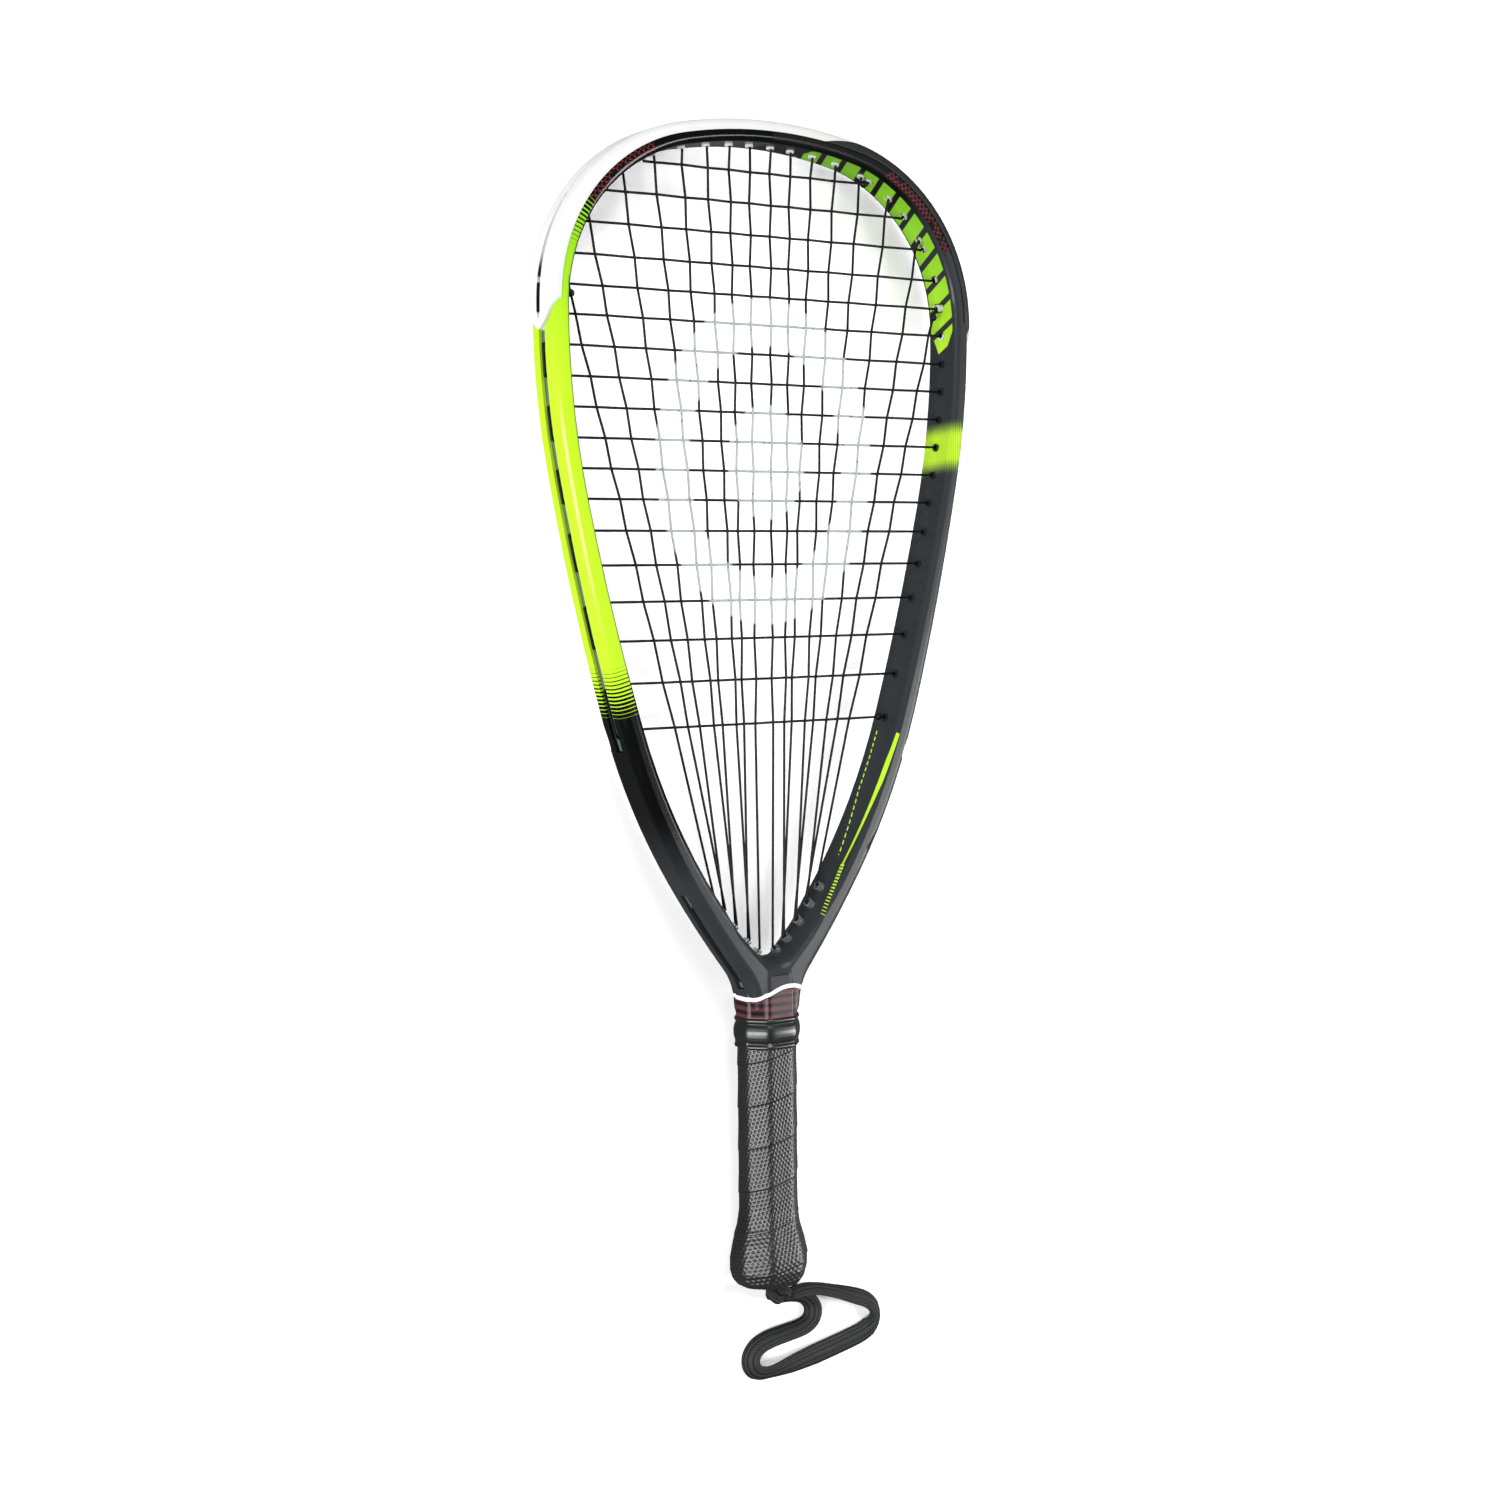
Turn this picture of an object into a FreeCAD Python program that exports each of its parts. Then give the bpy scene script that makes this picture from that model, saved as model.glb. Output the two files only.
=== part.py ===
import FreeCAD, Part
import math
import os
import Sketcher

# One-piece graphite racket of the racquetball pattern, strung, with a wrapped grip and a wrist lanyard.
# Millimetres. Every sub-part is drawn in the racket's own axes: X across the head, Y the station along
# the racket from the butt end, Z the height over the string plane. One placement then stands it in the
# row frame: the racket lies flat, the centre of its box at X = Y = 0 and its lowest point at Z = 0.

Vector = FreeCAD.Vector
UP = Vector(0, 0, 1)

DIMENSIONS = {
    # whole racket
    "racket_length": 559.0, "head_half_width": 118.4,
    # hollow graphite frame
    "beam_depth": 23.0, "outer_rim_radius": 4.4, "inner_rim_radius": 3.0, "beam_wall": 1.6,
    "groove_width": 5.6, "groove_sink": 2.0,
    "shaft_width": 21.0, "shaft_depth": 17.0, "shaft_wall": 2.0,
    # handle, measured over the grip
    "grip_width": 30.0, "grip_depth": 26.0, "grip_top": 121.0, "grip_thickness": 1.5,
    "butt_width": 39.5, "butt_depth": 34.0,
    "pallet_bottom": 16.0, "cap_top": 38.0, "end_wall": 3.0,
    "pallet_width": 26.5, "pallet_depth": 22.5, "tenon_width": 24.4, "tenon_depth": 20.4,
    "pallet_bore_width": 21.2, "pallet_bore_depth": 17.2, "pallet_top": 119.0,
    "staple_wire": 0.9, "staple_crown": 9.0, "staple_leg": 2.7, "staple_station": 30.0, "staple_seat": 11.5,
    "collar_bottom": 118.0, "collar_length": 15.5, "collar_width": 31.4, "collar_depth": 27.4,
    "collar_rib": 3.4, "collar_belly": 7.0, "collar_rounding": 0.7,
    "tape_thickness": 0.25, "tape_length": 5.5,
    # strings and grommets
    "string_diameter": 1.2, "weave_lift": 0.62,
    "barrel_diameter": 3.8, "barrel_bore": 2.6, "barrel_stand": 1.0,
    "clear_barrel_diameter": 4.6, "clear_barrel_bore": 3.2, "clear_barrel_stand": 3.0,
    "strip_width": 5.2, "strip_thickness": 0.5,
    "bumper_thickness": 1.6, "bumper_lap": 3.8, "bumper_proud": 0.5, "bumper_back": 10.6,
    # lanyard
    "lanyard_diameter": 7.2, "lanyard_offset": 5.0,
    "tether_diameter": 5.8, "inner_knot_diameter": 11.0, "lanyard_knot_diameter": 11.6,
}

document = FreeCAD.newDocument("racket")
sheet = document.addObject("Spreadsheet::Sheet", "sizes")
for row, (name, value) in enumerate(DIMENSIONS.items(), start=1):
    sheet.set("A%d" % row, name)
    sheet.set("B%d" % row, str(value))
    sheet.setAlias("B%d" % row, name)
document.recompute()


def size(name):
    """Driving dimension from the sheet."""
    return float(sheet.get(name))


PARTS = []


def place(item, label):
    """Name a sub-part and stand it in the row frame."""
    item.Label = label
    item.Placement = FreeCAD.Placement()
    item.setExpression("Placement.Base.y", "-sizes.racket_length / 2")
    item.setExpression("Placement.Base.z", "sizes.butt_depth / 2")
    PARTS.append(item)
    return item


def add_feature(label, shape):
    """Sub-part whose shape comes from Part's own functions."""
    item = document.addObject("Part::Feature", label)
    item.Shape = shape
    return place(item, label)


# ---------------------------------------------------------------- outlines of the head

BUMPER = size("bumper_thickness")
CROWN = size("racket_length") - BUMPER
HALF = size("head_half_width")
BEAM = 8.8                       # beam width across the head

# Right-hand half of each outline, crown to handle: the ends of its tangent arcs, which start level.
OUTER_POINTS = [(0, CROWN), (50, CROWN - 5.2), (94, CROWN - 29), (HALF, CROWN - 86),
                (HALF - 6, CROWN - 162), (84.5, 277), (50, 199.5), (19.5, 155.5), (13.5, 138)]
INNER_POINTS = [(0, CROWN - BEAM), (46, CROWN - BEAM - 4.8), (87, CROWN - BEAM - 27),
                (HALF - 9, CROWN - BEAM - 80), (HALF - 17.6, 381), (73.8, 277), (40, 203),
                (10, 165.4), (0, 161.5)]
THROAT_END = 123.0               # where the outline closes inside the shaft


def tangent_arcs(points, heading=0.0):
    """Edges of arcs through the points, each leaving in the direction in which the last arrived."""
    edges = []
    for (x0, y0), (x1, y1) in zip(points, points[1:]):
        chord = math.hypot(x1 - x0, y1 - y0)
        half_turn = (math.atan2(y1 - y0, x1 - x0) - heading + math.pi) % (2 * math.pi) - math.pi
        sagitta = chord / 2 * math.tan(half_turn / 2)
        middle = Vector((x0 + x1) / 2 + sagitta * (y1 - y0) / chord,
                        (y0 + y1) / 2 - sagitta * (x1 - x0) / chord, 0)
        edges.append(Part.Arc(Vector(x0, y0, 0), middle, Vector(x1, y1, 0)).toShape())
        heading += 2 * half_turn
    return edges


def mirrored(shape):
    """The same shape on the left-hand side of the racket."""
    return shape.mirror(Vector(0, 0, 0), Vector(1, 0, 0))


def closed_wire(edges):
    return Part.Wire(Part.sortEdges(edges)[0])


def outer_outline():
    half = tangent_arcs(OUTER_POINTS)
    end = OUTER_POINTS[-1]
    half.append(Part.makeLine(Vector(end[0], end[1], 0), Vector(end[0], THROAT_END, 0)))
    base = Part.makeLine(Vector(-end[0], THROAT_END, 0), Vector(end[0], THROAT_END, 0))
    return closed_wire(half + [mirrored(edge) for edge in half] + [base])


def inner_outline():
    half = tangent_arcs(INNER_POINTS)
    return closed_wire(half + [mirrored(edge) for edge in half])


OUTER = outer_outline()
INNER = inner_outline()


def slab(wire, depth):
    """The area inside a wire, made solid and centred on the string plane."""
    face = Part.Face(wire)
    return face.extrude(Vector(0, 0, depth)).translated(Vector(0, 0, -depth / 2))


def offset_slab(wire, offset, depth):
    return slab(wire.makeOffset2D(offset), depth)


def ring(outer_offset, inner_offset, depth):
    """Band that follows the outer outline between two offsets from it."""
    return offset_slab(OUTER, outer_offset, depth).cut(offset_slab(OUTER, inner_offset, 2 * depth))


def station_box(low, high, depth, left=-200.0, right=200.0):
    """Box that keeps only what lies between two stations."""
    return Part.makeBox(right - left, high - low, depth, Vector(left, low, -depth / 2))


# ---------------------------------------------------------------- handle sections

CHAMFER_RATIO = 0.31             # corner cut of the octagonal handle, as a share of its depth
ROUNDING_RATIO = 0.10            # rounding of its eight edges

# Station, width and depth over the grip, from the rounded butt through the flare to the straight grip.
GRIP_SECTIONS = [(0, 29, 24), (3, 36, 30.5), (8, 39.2, 33.7), (14, size("butt_width"), size("butt_depth")),
                 (22, 36.5, 31.5), (30, 32, 28), (38, size("grip_width"), size("grip_depth")),
                 (size("grip_top"), size("grip_width"), size("grip_depth"))]


def tangent_path(points, radii, closed=False):
    """Straight runs joined by an arc of the given radius at each corner."""
    count = len(points)
    corners = range(count) if closed else range(1, count - 1)
    trims = {}
    for i in corners:
        back = (points[i - 1] - points[i]).normalize()
        ahead = (points[(i + 1) % count] - points[i]).normalize()
        reach = radii[i] / math.tan(back.getAngle(ahead) / 2)
        bisector = (back + ahead).normalize()
        centre = points[i] + bisector * (radii[i] / math.sin(back.getAngle(ahead) / 2))
        trims[i] = (points[i] + back * reach, centre - bisector * radii[i], points[i] + ahead * reach)
    edges = []
    for i in range(count if closed else count - 1):
        following = (i + 1) % count
        if i in trims:
            edges.append(Part.Arc(*trims[i]).toShape())
        start = trims[i][2] if i in trims else points[i]
        end = trims[following][0] if following in trims else points[following]
        edges.append(Part.LineSegment(start, end).toShape())
    return Part.Wire(edges)


def octagon(width, depth, station):
    """Rounded octagon across the handle at a station."""
    cut = CHAMFER_RATIO * depth
    wide, tall = width / 2, depth / 2
    quarter = [(wide - cut, tall), (wide, tall - cut)]
    lower = [(x, -z) for x, z in reversed(quarter)]
    right = quarter + lower
    corners = right + [(-x, -z) for x, z in right]
    points = [Vector(x, station, z) for x, z in corners]
    return tangent_path(points, [ROUNDING_RATIO * depth] * len(points), closed=True)


def handle_solid(sections, inset=0.0):
    """Solid through octagons given as station, width and depth, drawn in by an inset."""
    wires = [octagon(width - 2 * inset, depth - 2 * inset, station) for station, width, depth in sections]
    return Part.makeLoft(wires, True, True)


def prism(width, depth, low, high):
    """Straight octagonal bar between two stations."""
    wires = [octagon(width, depth, low), octagon(width, depth, high)]
    return Part.makeLoft(wires, True, True)


def rod(start, end, radius):
    """Round bar between two points."""
    return Part.makeCylinder(radius, (end - start).Length, start, end - start)


# ---------------------------------------------------------------- string pattern

STRING_RADIUS = size("string_diameter") / 2
LIFT = size("weave_lift")
LAYER = STRING_RADIUS + 0.08     # height of a string over or under its neighbour in a shared hole
LIP = 0.8                        # how far past a barrel's mouth a string turns
LOOP_SINK = 0.8                  # depth of the outside loops under the outline

FIRST_CROSS = 537.6
CROSS_PITCHES = [15.0] * 3 + [13.9] * 8 + [14.5, 15.9, 17.0, 18.2, 19.7, 21.4]
MAIN_TOPS = [6.0, 17.5, 30.3, 44.0, 59.5, 76.5, 95.5]     # across the head, from the middle outwards
SHARED_CROSS = 4                 # the fifth cross shares its hole with the outermost main
THROAT_IN = [163.0, 168.5, 176.5, 184.5, 192.5]           # stations of the barrels in the throat, inside
THROAT_OUT = [151.0, 160.5, 169.5, 178.5, 187.5]          # and where they leave the outer wall
MAIN_TO_BARREL = [0, 1, 1, 2, 2, 3, 3, 4]                 # throat barrel of each main, middle outwards
BUMPER_END = 457.0
HEAD_GROOVE_END = 265.0
THROAT_GROOVE = (147.0, 195.0)


class Hole:
    """A string hole through the right-hand beam, with the barrel that lines it."""

    def __init__(self, inside, outside, clear):
        self.inside = inside
        self.outside = outside
        self.way = (outside - inside).normalize()
        kind = "clear_barrel" if clear else "barrel"
        self.radius = size(kind + "_diameter") / 2
        self.bore = size(kind + "_bore") / 2
        self.mouth = inside - self.way * size(kind + "_stand")

    def turn(self, layer):
        """Where a string bends as it leaves the barrel."""
        return self.mouth - self.way * LIP + UP * layer

    def drill(self):
        return rod(self.inside - self.way * 6, self.outside + self.way * 6, self.radius + 0.1)

    def barrel(self, sink):
        return rod(self.mouth, self.outside - self.way * sink, self.radius)

    def bore_rod(self):
        return rod(self.mouth - self.way, self.outside + self.way * 6, self.bore)


def meeting(line, wire):
    """The point at which a line meets a wire."""
    return line.distToShape(wire)[1][0][1]


def wall_point(station, wire):
    """Right-hand point of an outline at a station."""
    return meeting(Part.makeLine(Vector(4, station, 0), Vector(200, station, 0)), wire)


def crown_point(across):
    """Point of the inner outline under the crown."""
    return meeting(Part.makeLine(Vector(across, 450, 0), Vector(across, 600, 0)), INNER)


def square_hole(inside, clear=False):
    """Hole square to the inner wall."""
    edge = min(INNER.Edges, key=lambda item: item.distToShape(Part.Vertex(inside))[0])
    tangent = edge.tangentAt(edge.Curve.parameter(inside))
    normal = tangent.cross(UP)
    if normal.dot(inside - Vector(0, 400, 0)) < 0:
        normal = normal * -1
    outside = meeting(Part.makeLine(inside + normal * 2, inside + normal * 40), OUTER)
    return Hole(inside, outside, clear)


def cross_holes():
    stations = [FIRST_CROSS]
    for pitch in CROSS_PITCHES:
        stations.append(stations[-1] - pitch)
    return [square_hole(wall_point(station, INNER), clear=index == SHARED_CROSS)
            for index, station in enumerate(stations)]


CROSS_HOLES = cross_holes()
TOP_HOLES = [square_hole(crown_point(across)) for across in MAIN_TOPS] + [CROSS_HOLES[SHARED_CROSS]]
THROAT_HOLES = [Hole(wall_point(low, INNER), wall_point(high, OUTER), clear=True)
                for low, high in zip(THROAT_IN, THROAT_OUT)]
HEAD_HOLES = CROSS_HOLES + TOP_HOLES[:-1]


def both_sides(shapes):
    return shapes + [mirrored(shape) for shape in shapes]


# ---------------------------------------------------------------- frame

def rims(block, wire, half_depth):
    """Edges of a block's front and back faces that run along a wire of the string plane."""
    found = []
    for edge in block.Edges:
        middle = edge.valueAt((edge.FirstParameter + edge.LastParameter) / 2)
        beside = Part.Vertex(middle.x, middle.y, 0).distToShape(wire)[0]
        if beside < 0.01 and abs(abs(middle.z) - half_depth) < 0.01 and middle.y > THROAT_END + 1:
            found.append(edge)
    return found


def frame_shape():
    """Hollow hoop, closed throat and shaft in one graphite piece, with its string groove and holes."""
    depth, wall, sink = size("beam_depth"), size("beam_wall"), size("groove_sink")
    hoop = slab(OUTER, depth).cut(slab(INNER, 2 * depth))
    hoop = hoop.makeFillet(size("outer_rim_radius"), rims(hoop, OUTER, depth / 2))
    hoop = hoop.makeFillet(size("inner_rim_radius"), rims(hoop, INNER, depth / 2))
    grip = (size("grip_width"), size("grip_depth"))
    collar_limit = handle_solid([(120, *grip), (134, *grip), (152, 48, 36)])
    hoop = hoop.common(collar_limit.fuse(station_box(152, 600, 60)))
    neck = [(size("grip_top") + 0.3, *grip), (136, *grip), (146, *grip), (170, grip[0] - 6, 21)]
    shell = hoop.fuse([handle_solid(neck), prism(size("shaft_width"), size("shaft_depth"), 20, 125)])
    hollow = offset_slab(OUTER, -sink - wall, depth - 2 * wall)
    hollow = hollow.cut([offset_slab(INNER, wall, 2 * depth), valley(1, wall), valley(-1, wall)])
    bore_width = size("shaft_width") - 2 * size("shaft_wall")
    bore_depth = size("shaft_depth") - 2 * size("shaft_wall")
    shell = shell.cut([hollow, prism(bore_width, bore_depth, 19, 146)])
    groove = ring(6.0, -sink, size("groove_width"))
    head_groove = groove.common(station_box(HEAD_GROOVE_END, 600, depth))
    throat_groove = groove.common(station_box(*THROAT_GROOVE, depth))
    holes = both_sides([hole.drill() for hole in HEAD_HOLES + THROAT_HOLES])
    return shell.cut([head_groove, throat_groove, valley(1), valley(-1)] + holes)


# Half outline of the valley in the throat, along the inner walls at the string plane and on the face.
VALLEY_FOOT = [(38.6, 201.2), (20.2, 176.6), (0.0, 154.8)]
VALLEY_RIM = [(38.6, 200.6), (24.0, 173.5), (0.0, 148.0)]
VALLEY_CORNERS = {"foot": (60.0, 15.0), "rim": (40.0, 5.0)}      # radii at its shoulders and at its tip
# Height as a share of the half depth, and the share of the way from foot to rim there.
VALLEY_RISE = [(0.0, 0.0), (0.42, 0.07), (0.78, 0.30), (0.95, 0.62), (1.01, 0.88), (1.06, 1.0)]


def valley(side, wall=0.0):
    """The smooth valley that runs from the crotch to the shaft on one face of the throat, grown by a wall."""
    wires = []
    for height, share in VALLEY_RISE:
        half = [(foot_x + (rim_x - foot_x) * share, foot_y + (rim_y - foot_y) * share)
                for (foot_x, foot_y), (rim_x, rim_y) in zip(VALLEY_FOOT, VALLEY_RIM)]
        radii = [foot + (rim - foot) * share
                 for foot, rim in zip(VALLEY_CORNERS["foot"], VALLEY_CORNERS["rim"])]
        level = side * (height * size("beam_depth") / 2 - wall)
        end, shoulder, tip = [(x + 0.9 * wall, y - 0.7 * wall) for x, y in half]
        tip = (0.0, tip[1] - 0.7 * wall)
        right = [Vector(x, y, level) for x, y in (end, shoulder)]
        left = [Vector(-x, y, level) for x, y in (shoulder, end)]
        path = tangent_path(right + [Vector(*tip, level)] + left, [0, radii[0], radii[1], radii[0], 0])
        wires.append(Part.Wire(path.Edges + [Part.makeLine(left[-1], right[0])]))
    return Part.makeLoft(wires, True, False)


add_feature("frame", frame_shape())


# ---------------------------------------------------------------- bumper and grommet strips

# Half width of the slot along the bumper, wide near its leaf-pointed ends and a thin line over the crown.
BUMPER_SLOT = [(BUMPER_END + 5, 0.5), (BUMPER_END + 12, 1.4), (500, 1.4), (520, 0.7), (537, 0.4), (600, 0.4)]


def base_strip(low, high):
    """Flat band on the floor of the groove, between two stations on both sides of the head."""
    sink = size("groove_sink")
    band = ring(size("strip_thickness") - sink, -sink + 0.02, size("strip_width"))
    return band.common(station_box(low, high, 40))


def lined(body, holes, sink):
    """A strip with barrels for its holes, bored through."""
    barrels = both_sides([hole.barrel(sink) for hole in holes])
    bores = both_sides([hole.bore_rod() for hole in holes])
    return body.fuse(barrels).cut(bores).removeSplitter()


def station_band(half_heights):
    """Block across the racket whose half height is given at each station."""
    outline = [Vector(-200, y, z) for y, z in half_heights]
    outline += [Vector(-200, y, -z) for y, z in reversed(half_heights)]
    return Part.Face(Part.makePolygon(outline + outline[:1])).extrude(Vector(400, 0, 0))


def rimmed_block(offset, half_depth, radius):
    """Crown end of the area inside the outline moved by an offset, made solid with rounded outer rims."""
    block = offset_slab(OUTER, offset, 2 * half_depth).common(station_box(BUMPER_END - 2, 600, 60))
    return block.makeFillet(radius, rims(block, OUTER.makeOffset2D(offset), half_depth))


def bumper_skin(gap):
    """Skin that laps over the rounded rims of the hoop on the front, and nearly as far on the back."""
    half, radius = size("beam_depth") / 2, size("outer_rim_radius")
    proud = size("bumper_proud")
    skin = rimmed_block(BUMPER, half + proud, radius + proud)
    skin = skin.cut([rimmed_block(gap, half + gap, radius), offset_slab(OUTER, -size("bumper_lap"), 60)])
    back = size("bumper_back")
    return skin.common(station_box(BUMPER_END, 600, 2 * (half + proud)).translated(
        Vector(0, 0, half + proud - back)))


def bumper_shape():
    """Guard over the crown: outer skin with leaf-pointed ends, string channel and grommet barrels."""
    gap, whole = 0.05, 14.0
    leaf = [(BUMPER_END, 1.2), (BUMPER_END + 4.5, 7), (BUMPER_END + 11, 10.5), (BUMPER_END + 18, whole),
            (600, whole)]
    core = ring(gap + 0.1, -size("groove_sink") + 0.02, size("strip_width"))
    core = core.common(station_box(BUMPER_END, 600, 40))
    tunnel = ring(0.0, size("strip_thickness") - size("groove_sink"), 3.8)
    slot = ring(8.0, -1.0, 6.0).common(station_band(BUMPER_SLOT))
    body = bumper_skin(gap).common(station_band(leaf)).fuse(core)
    holes = [hole for hole in HEAD_HOLES if hole.outside.y > BUMPER_END]
    sink = size("groove_sink") - 0.3
    return lined(body, holes, sink).cut([tunnel, slot])


def half_space(right):
    """Everything on one side of the middle plane."""
    return station_box(0, 700, 80, 0 if right else -200, 200 if right else 0)


def side_strip_shape(right):
    body = base_strip(HEAD_GROOVE_END + 0.5, BUMPER_END - 0.5)
    holes = [hole for hole in CROSS_HOLES if hole.outside.y < BUMPER_END]
    return lined(body, holes, size("groove_sink") - 0.3).common(half_space(right))


def throat_strip_shape(right):
    body = base_strip(THROAT_GROOVE[0] + 0.5, THROAT_GROOVE[1] - 0.5)
    bores = both_sides([hole.bore_rod() for hole in THROAT_HOLES])
    return body.cut(bores).common(half_space(right))


def throat_barrels_shape():
    """Ten clear tubes that carry the mains through the throat."""
    sink = size("groove_sink") + 1.6
    tubes = [hole.barrel(sink).cut(hole.bore_rod()) for hole in THROAT_HOLES]
    return Part.makeCompound(both_sides(tubes))


add_feature("bumper_guard", bumper_shape())
for side_name, is_right in (("left", False), ("right", True)):
    add_feature("side_grommet_strip_" + side_name, side_strip_shape(is_right))
    add_feature("throat_grommet_strip_" + side_name, throat_strip_shape(is_right))
add_feature("throat_barrels", throat_barrels_shape())


# ---------------------------------------------------------------- strings

LOOP_LINE = OUTER.makeOffset2D(-LOOP_SINK)
LOOP_STEP = 8.0                  # longest straight piece of an outside loop


def flip(point, right):
    return point if right else Vector(-point.x, point.y, point.z)


def groove_loop(start, end, first_layer, last_layer):
    """Points of an outside loop, along the groove from one hole to another."""
    count = max(1, math.ceil((end - start).Length / LOOP_STEP))
    points = []
    for i in range(count + 1):
        share = i / count
        along = Part.Vertex(start + (end - start) * share)
        layer = first_layer + (last_layer - first_layer) * share
        points.append(along.distToShape(LOOP_LINE)[1][0][1] + UP * layer)
    return points


def main_run(index):
    """Top and bottom hole of a main, counted from the middle outwards."""
    return TOP_HOLES[index], THROAT_HOLES[MAIN_TO_BARREL[index]]


def main_place(index, right, station):
    """Where a main crosses a station."""
    top, bottom = (hole.turn(0) for hole in main_run(index))
    share = (station - bottom.y) / (top.y - bottom.y)
    return flip(bottom + (top - bottom) * share, right)


# Mains from the leftmost to the rightmost, as position from the middle and side.
MAINS = [(index, False) for index in reversed(range(8))] + [(index, True) for index in range(8)]


def throat_layer(number):
    return LAYER if number % 2 else -LAYER


def crossing_height(main_number, cross_number):
    """Height of the main over the string plane where it meets a cross; the cross has the opposite."""
    return LIFT if (main_number + cross_number) % 2 else -LIFT


def crosses_main(cross_hole, index):
    """Whether a cross reaches as far out as a main at its own station."""
    top, bottom = main_run(index)
    return bottom.mouth.y < cross_hole.turn(0).y < top.turn(0).y - 1


def main_points(number):
    """A main from its top hole down to the throat."""
    index, right = MAINS[number]
    top, bottom = main_run(index)
    points = [flip(top.turn(LAYER), right)]
    for cross_number, hole in enumerate(CROSS_HOLES):
        if crosses_main(hole, index):
            place_here = main_place(index, right, hole.turn(0).y)
            points.append(place_here + UP * crossing_height(number, cross_number))
    points.append(flip(bottom.turn(throat_layer(number)), right))
    return points


def cross_points(cross_number):
    """A cross from its left hole to its right one."""
    hole = CROSS_HOLES[cross_number]
    station = hole.turn(0).y
    points = [flip(hole.turn(-LAYER), False)]
    for number, (index, right) in enumerate(MAINS):
        if crosses_main(hole, index):
            points.append(main_place(index, right, station) - UP * crossing_height(number, cross_number))
    points.append(hole.turn(-LAYER))
    return points


def tube(points):
    """One string: a round section carried along straight pieces with mitred corners."""
    spine = Part.makePolygon(points)
    section = Part.Wire(Part.makeCircle(STRING_RADIUS, points[0], points[1] - points[0]))
    return spine.makePipeShell([section], True, False, 1)


def main_string_points():
    points = []
    for number in range(len(MAINS)):
        index, right = MAINS[number]
        top, bottom = main_run(index)
        run = main_points(number)
        downwards = number % 2 == 0
        if number == 0:
            points.append(flip(top.outside, right) + UP * LAYER)
        points += run if downwards else run[::-1]
        if number == len(MAINS) - 1:
            points.append(flip(top.outside, right) + UP * LAYER)
            break
        following, next_right = MAINS[number + 1]
        here, there = (bottom, main_run(following)[1]) if downwards else (top, main_run(following)[0])
        start, end = flip(here.outside, right), flip(there.outside, next_right)
        if downwards:
            points += groove_loop(start, end, throat_layer(number), throat_layer(number + 1))
        else:
            points += groove_loop(start, end, LAYER, LAYER)
    return points


def cross_string_points():
    points = [CROSS_HOLES[0].outside - UP * LAYER]
    for number in range(len(CROSS_HOLES)):
        run = cross_points(number)
        leftwards = number % 2 == 0
        points += run[::-1] if leftwards else run
        right = not leftwards
        here = flip(CROSS_HOLES[number].outside, right)
        if number == len(CROSS_HOLES) - 1:
            points.append(here - UP * LAYER)
            break
        there = flip(CROSS_HOLES[number + 1].outside, right)
        points += groove_loop(here, there, -LAYER, -LAYER)
    return points


for label, route in (("main_string", main_string_points()), ("cross_string", cross_string_points())):
    add_feature(label, tube(route))


# ---------------------------------------------------------------- tie-off knots

KNOT_RADIUS = 1.8


def tie_knot(run, along):
    """Round knot on a string, a little way in from its turn at the frame."""
    way = (run[1] - run[0]).normalize()
    centre = run[0] + way * along
    bore = rod(centre - way * 4, centre + way * 4, STRING_RADIUS + 0.02)
    return Part.makeSphere(KNOT_RADIUS, centre, way).cut(bore)


last_cross = len(CROSS_HOLES) - 1
cross_knots = [tie_knot(cross_points(number)[::-1], 2.5) for number in (0, last_cross)]
add_feature("cross_string_knots", Part.makeCompound(cross_knots))
main_knots = [tie_knot(main_points(number), 4.5) for number in (0, len(MAINS) - 1)]
add_feature("main_string_knots", Part.makeCompound(main_knots))


# ---------------------------------------------------------------- handle pieces

def origin_plane(body, role):
    return next(item for item in body.Origin.OriginFeatures if item.Role == role)


def octagon_sketch(body, name, width, depth, station):
    """Octagon across the handle; width, depth and station are expressions on the sheet."""
    sketch = body.newObject("Sketcher::SketchObject", name)
    sketch.AttachmentSupport = [(origin_plane(body, "XZ_Plane"), "")]
    sketch.MapMode = "FlatFace"
    sketch.setExpression("AttachmentOffset.Base.z", "-(%s)" % station)
    corners = [(-6, 10), (6, 10), (12, 4), (12, -4), (6, -10), (-6, -10), (-12, -4), (-12, 4)]
    for i, (x, z) in enumerate(corners):
        after = corners[(i + 1) % 8]
        sketch.addGeometry(Part.LineSegment(Vector(x, z, 0), Vector(*after, 0)), False)
    top, right, bottom, left = 0, 2, 4, 6
    rules = [Sketcher.Constraint("Coincident", i, 2, (i + 1) % 8, 1) for i in range(8)]
    rules += [Sketcher.Constraint("Symmetric", side, 1, side, 2, -2) for side in (top, bottom)]
    rules += [Sketcher.Constraint("Symmetric", side, 1, side, 2, -1) for side in (right, left)]
    rules += [Sketcher.Constraint("Symmetric", top, 1, bottom, 2, -1)]
    rules += [Sketcher.Constraint("Symmetric", right, 1, left, 2, -2)]
    for rule in rules:
        sketch.addConstraint(rule)
    flat = "2 * %s * (%s)" % (CHAMFER_RATIO, depth)
    driven = [("across", Sketcher.Constraint("DistanceX", left, 1, right, 1, 24.0), width),
              ("deep", Sketcher.Constraint("DistanceY", bottom, 1, top, 1, 20.0), depth),
              ("top_flat", Sketcher.Constraint("DistanceX", top, 1, top, 2, 12.0),
               "(%s) - %s" % (width, flat)),
              ("side_flat", Sketcher.Constraint("DistanceY", right, 2, right, 1, 8.0),
               "(%s) - %s" % (depth, flat))]
    for title, rule, expression in driven:
        number = sketch.addConstraint(rule)
        sketch.renameConstraint(number, title)
        sketch.setExpression("Constraints." + title, expression)
    sketch.Visibility = False
    return sketch


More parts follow.
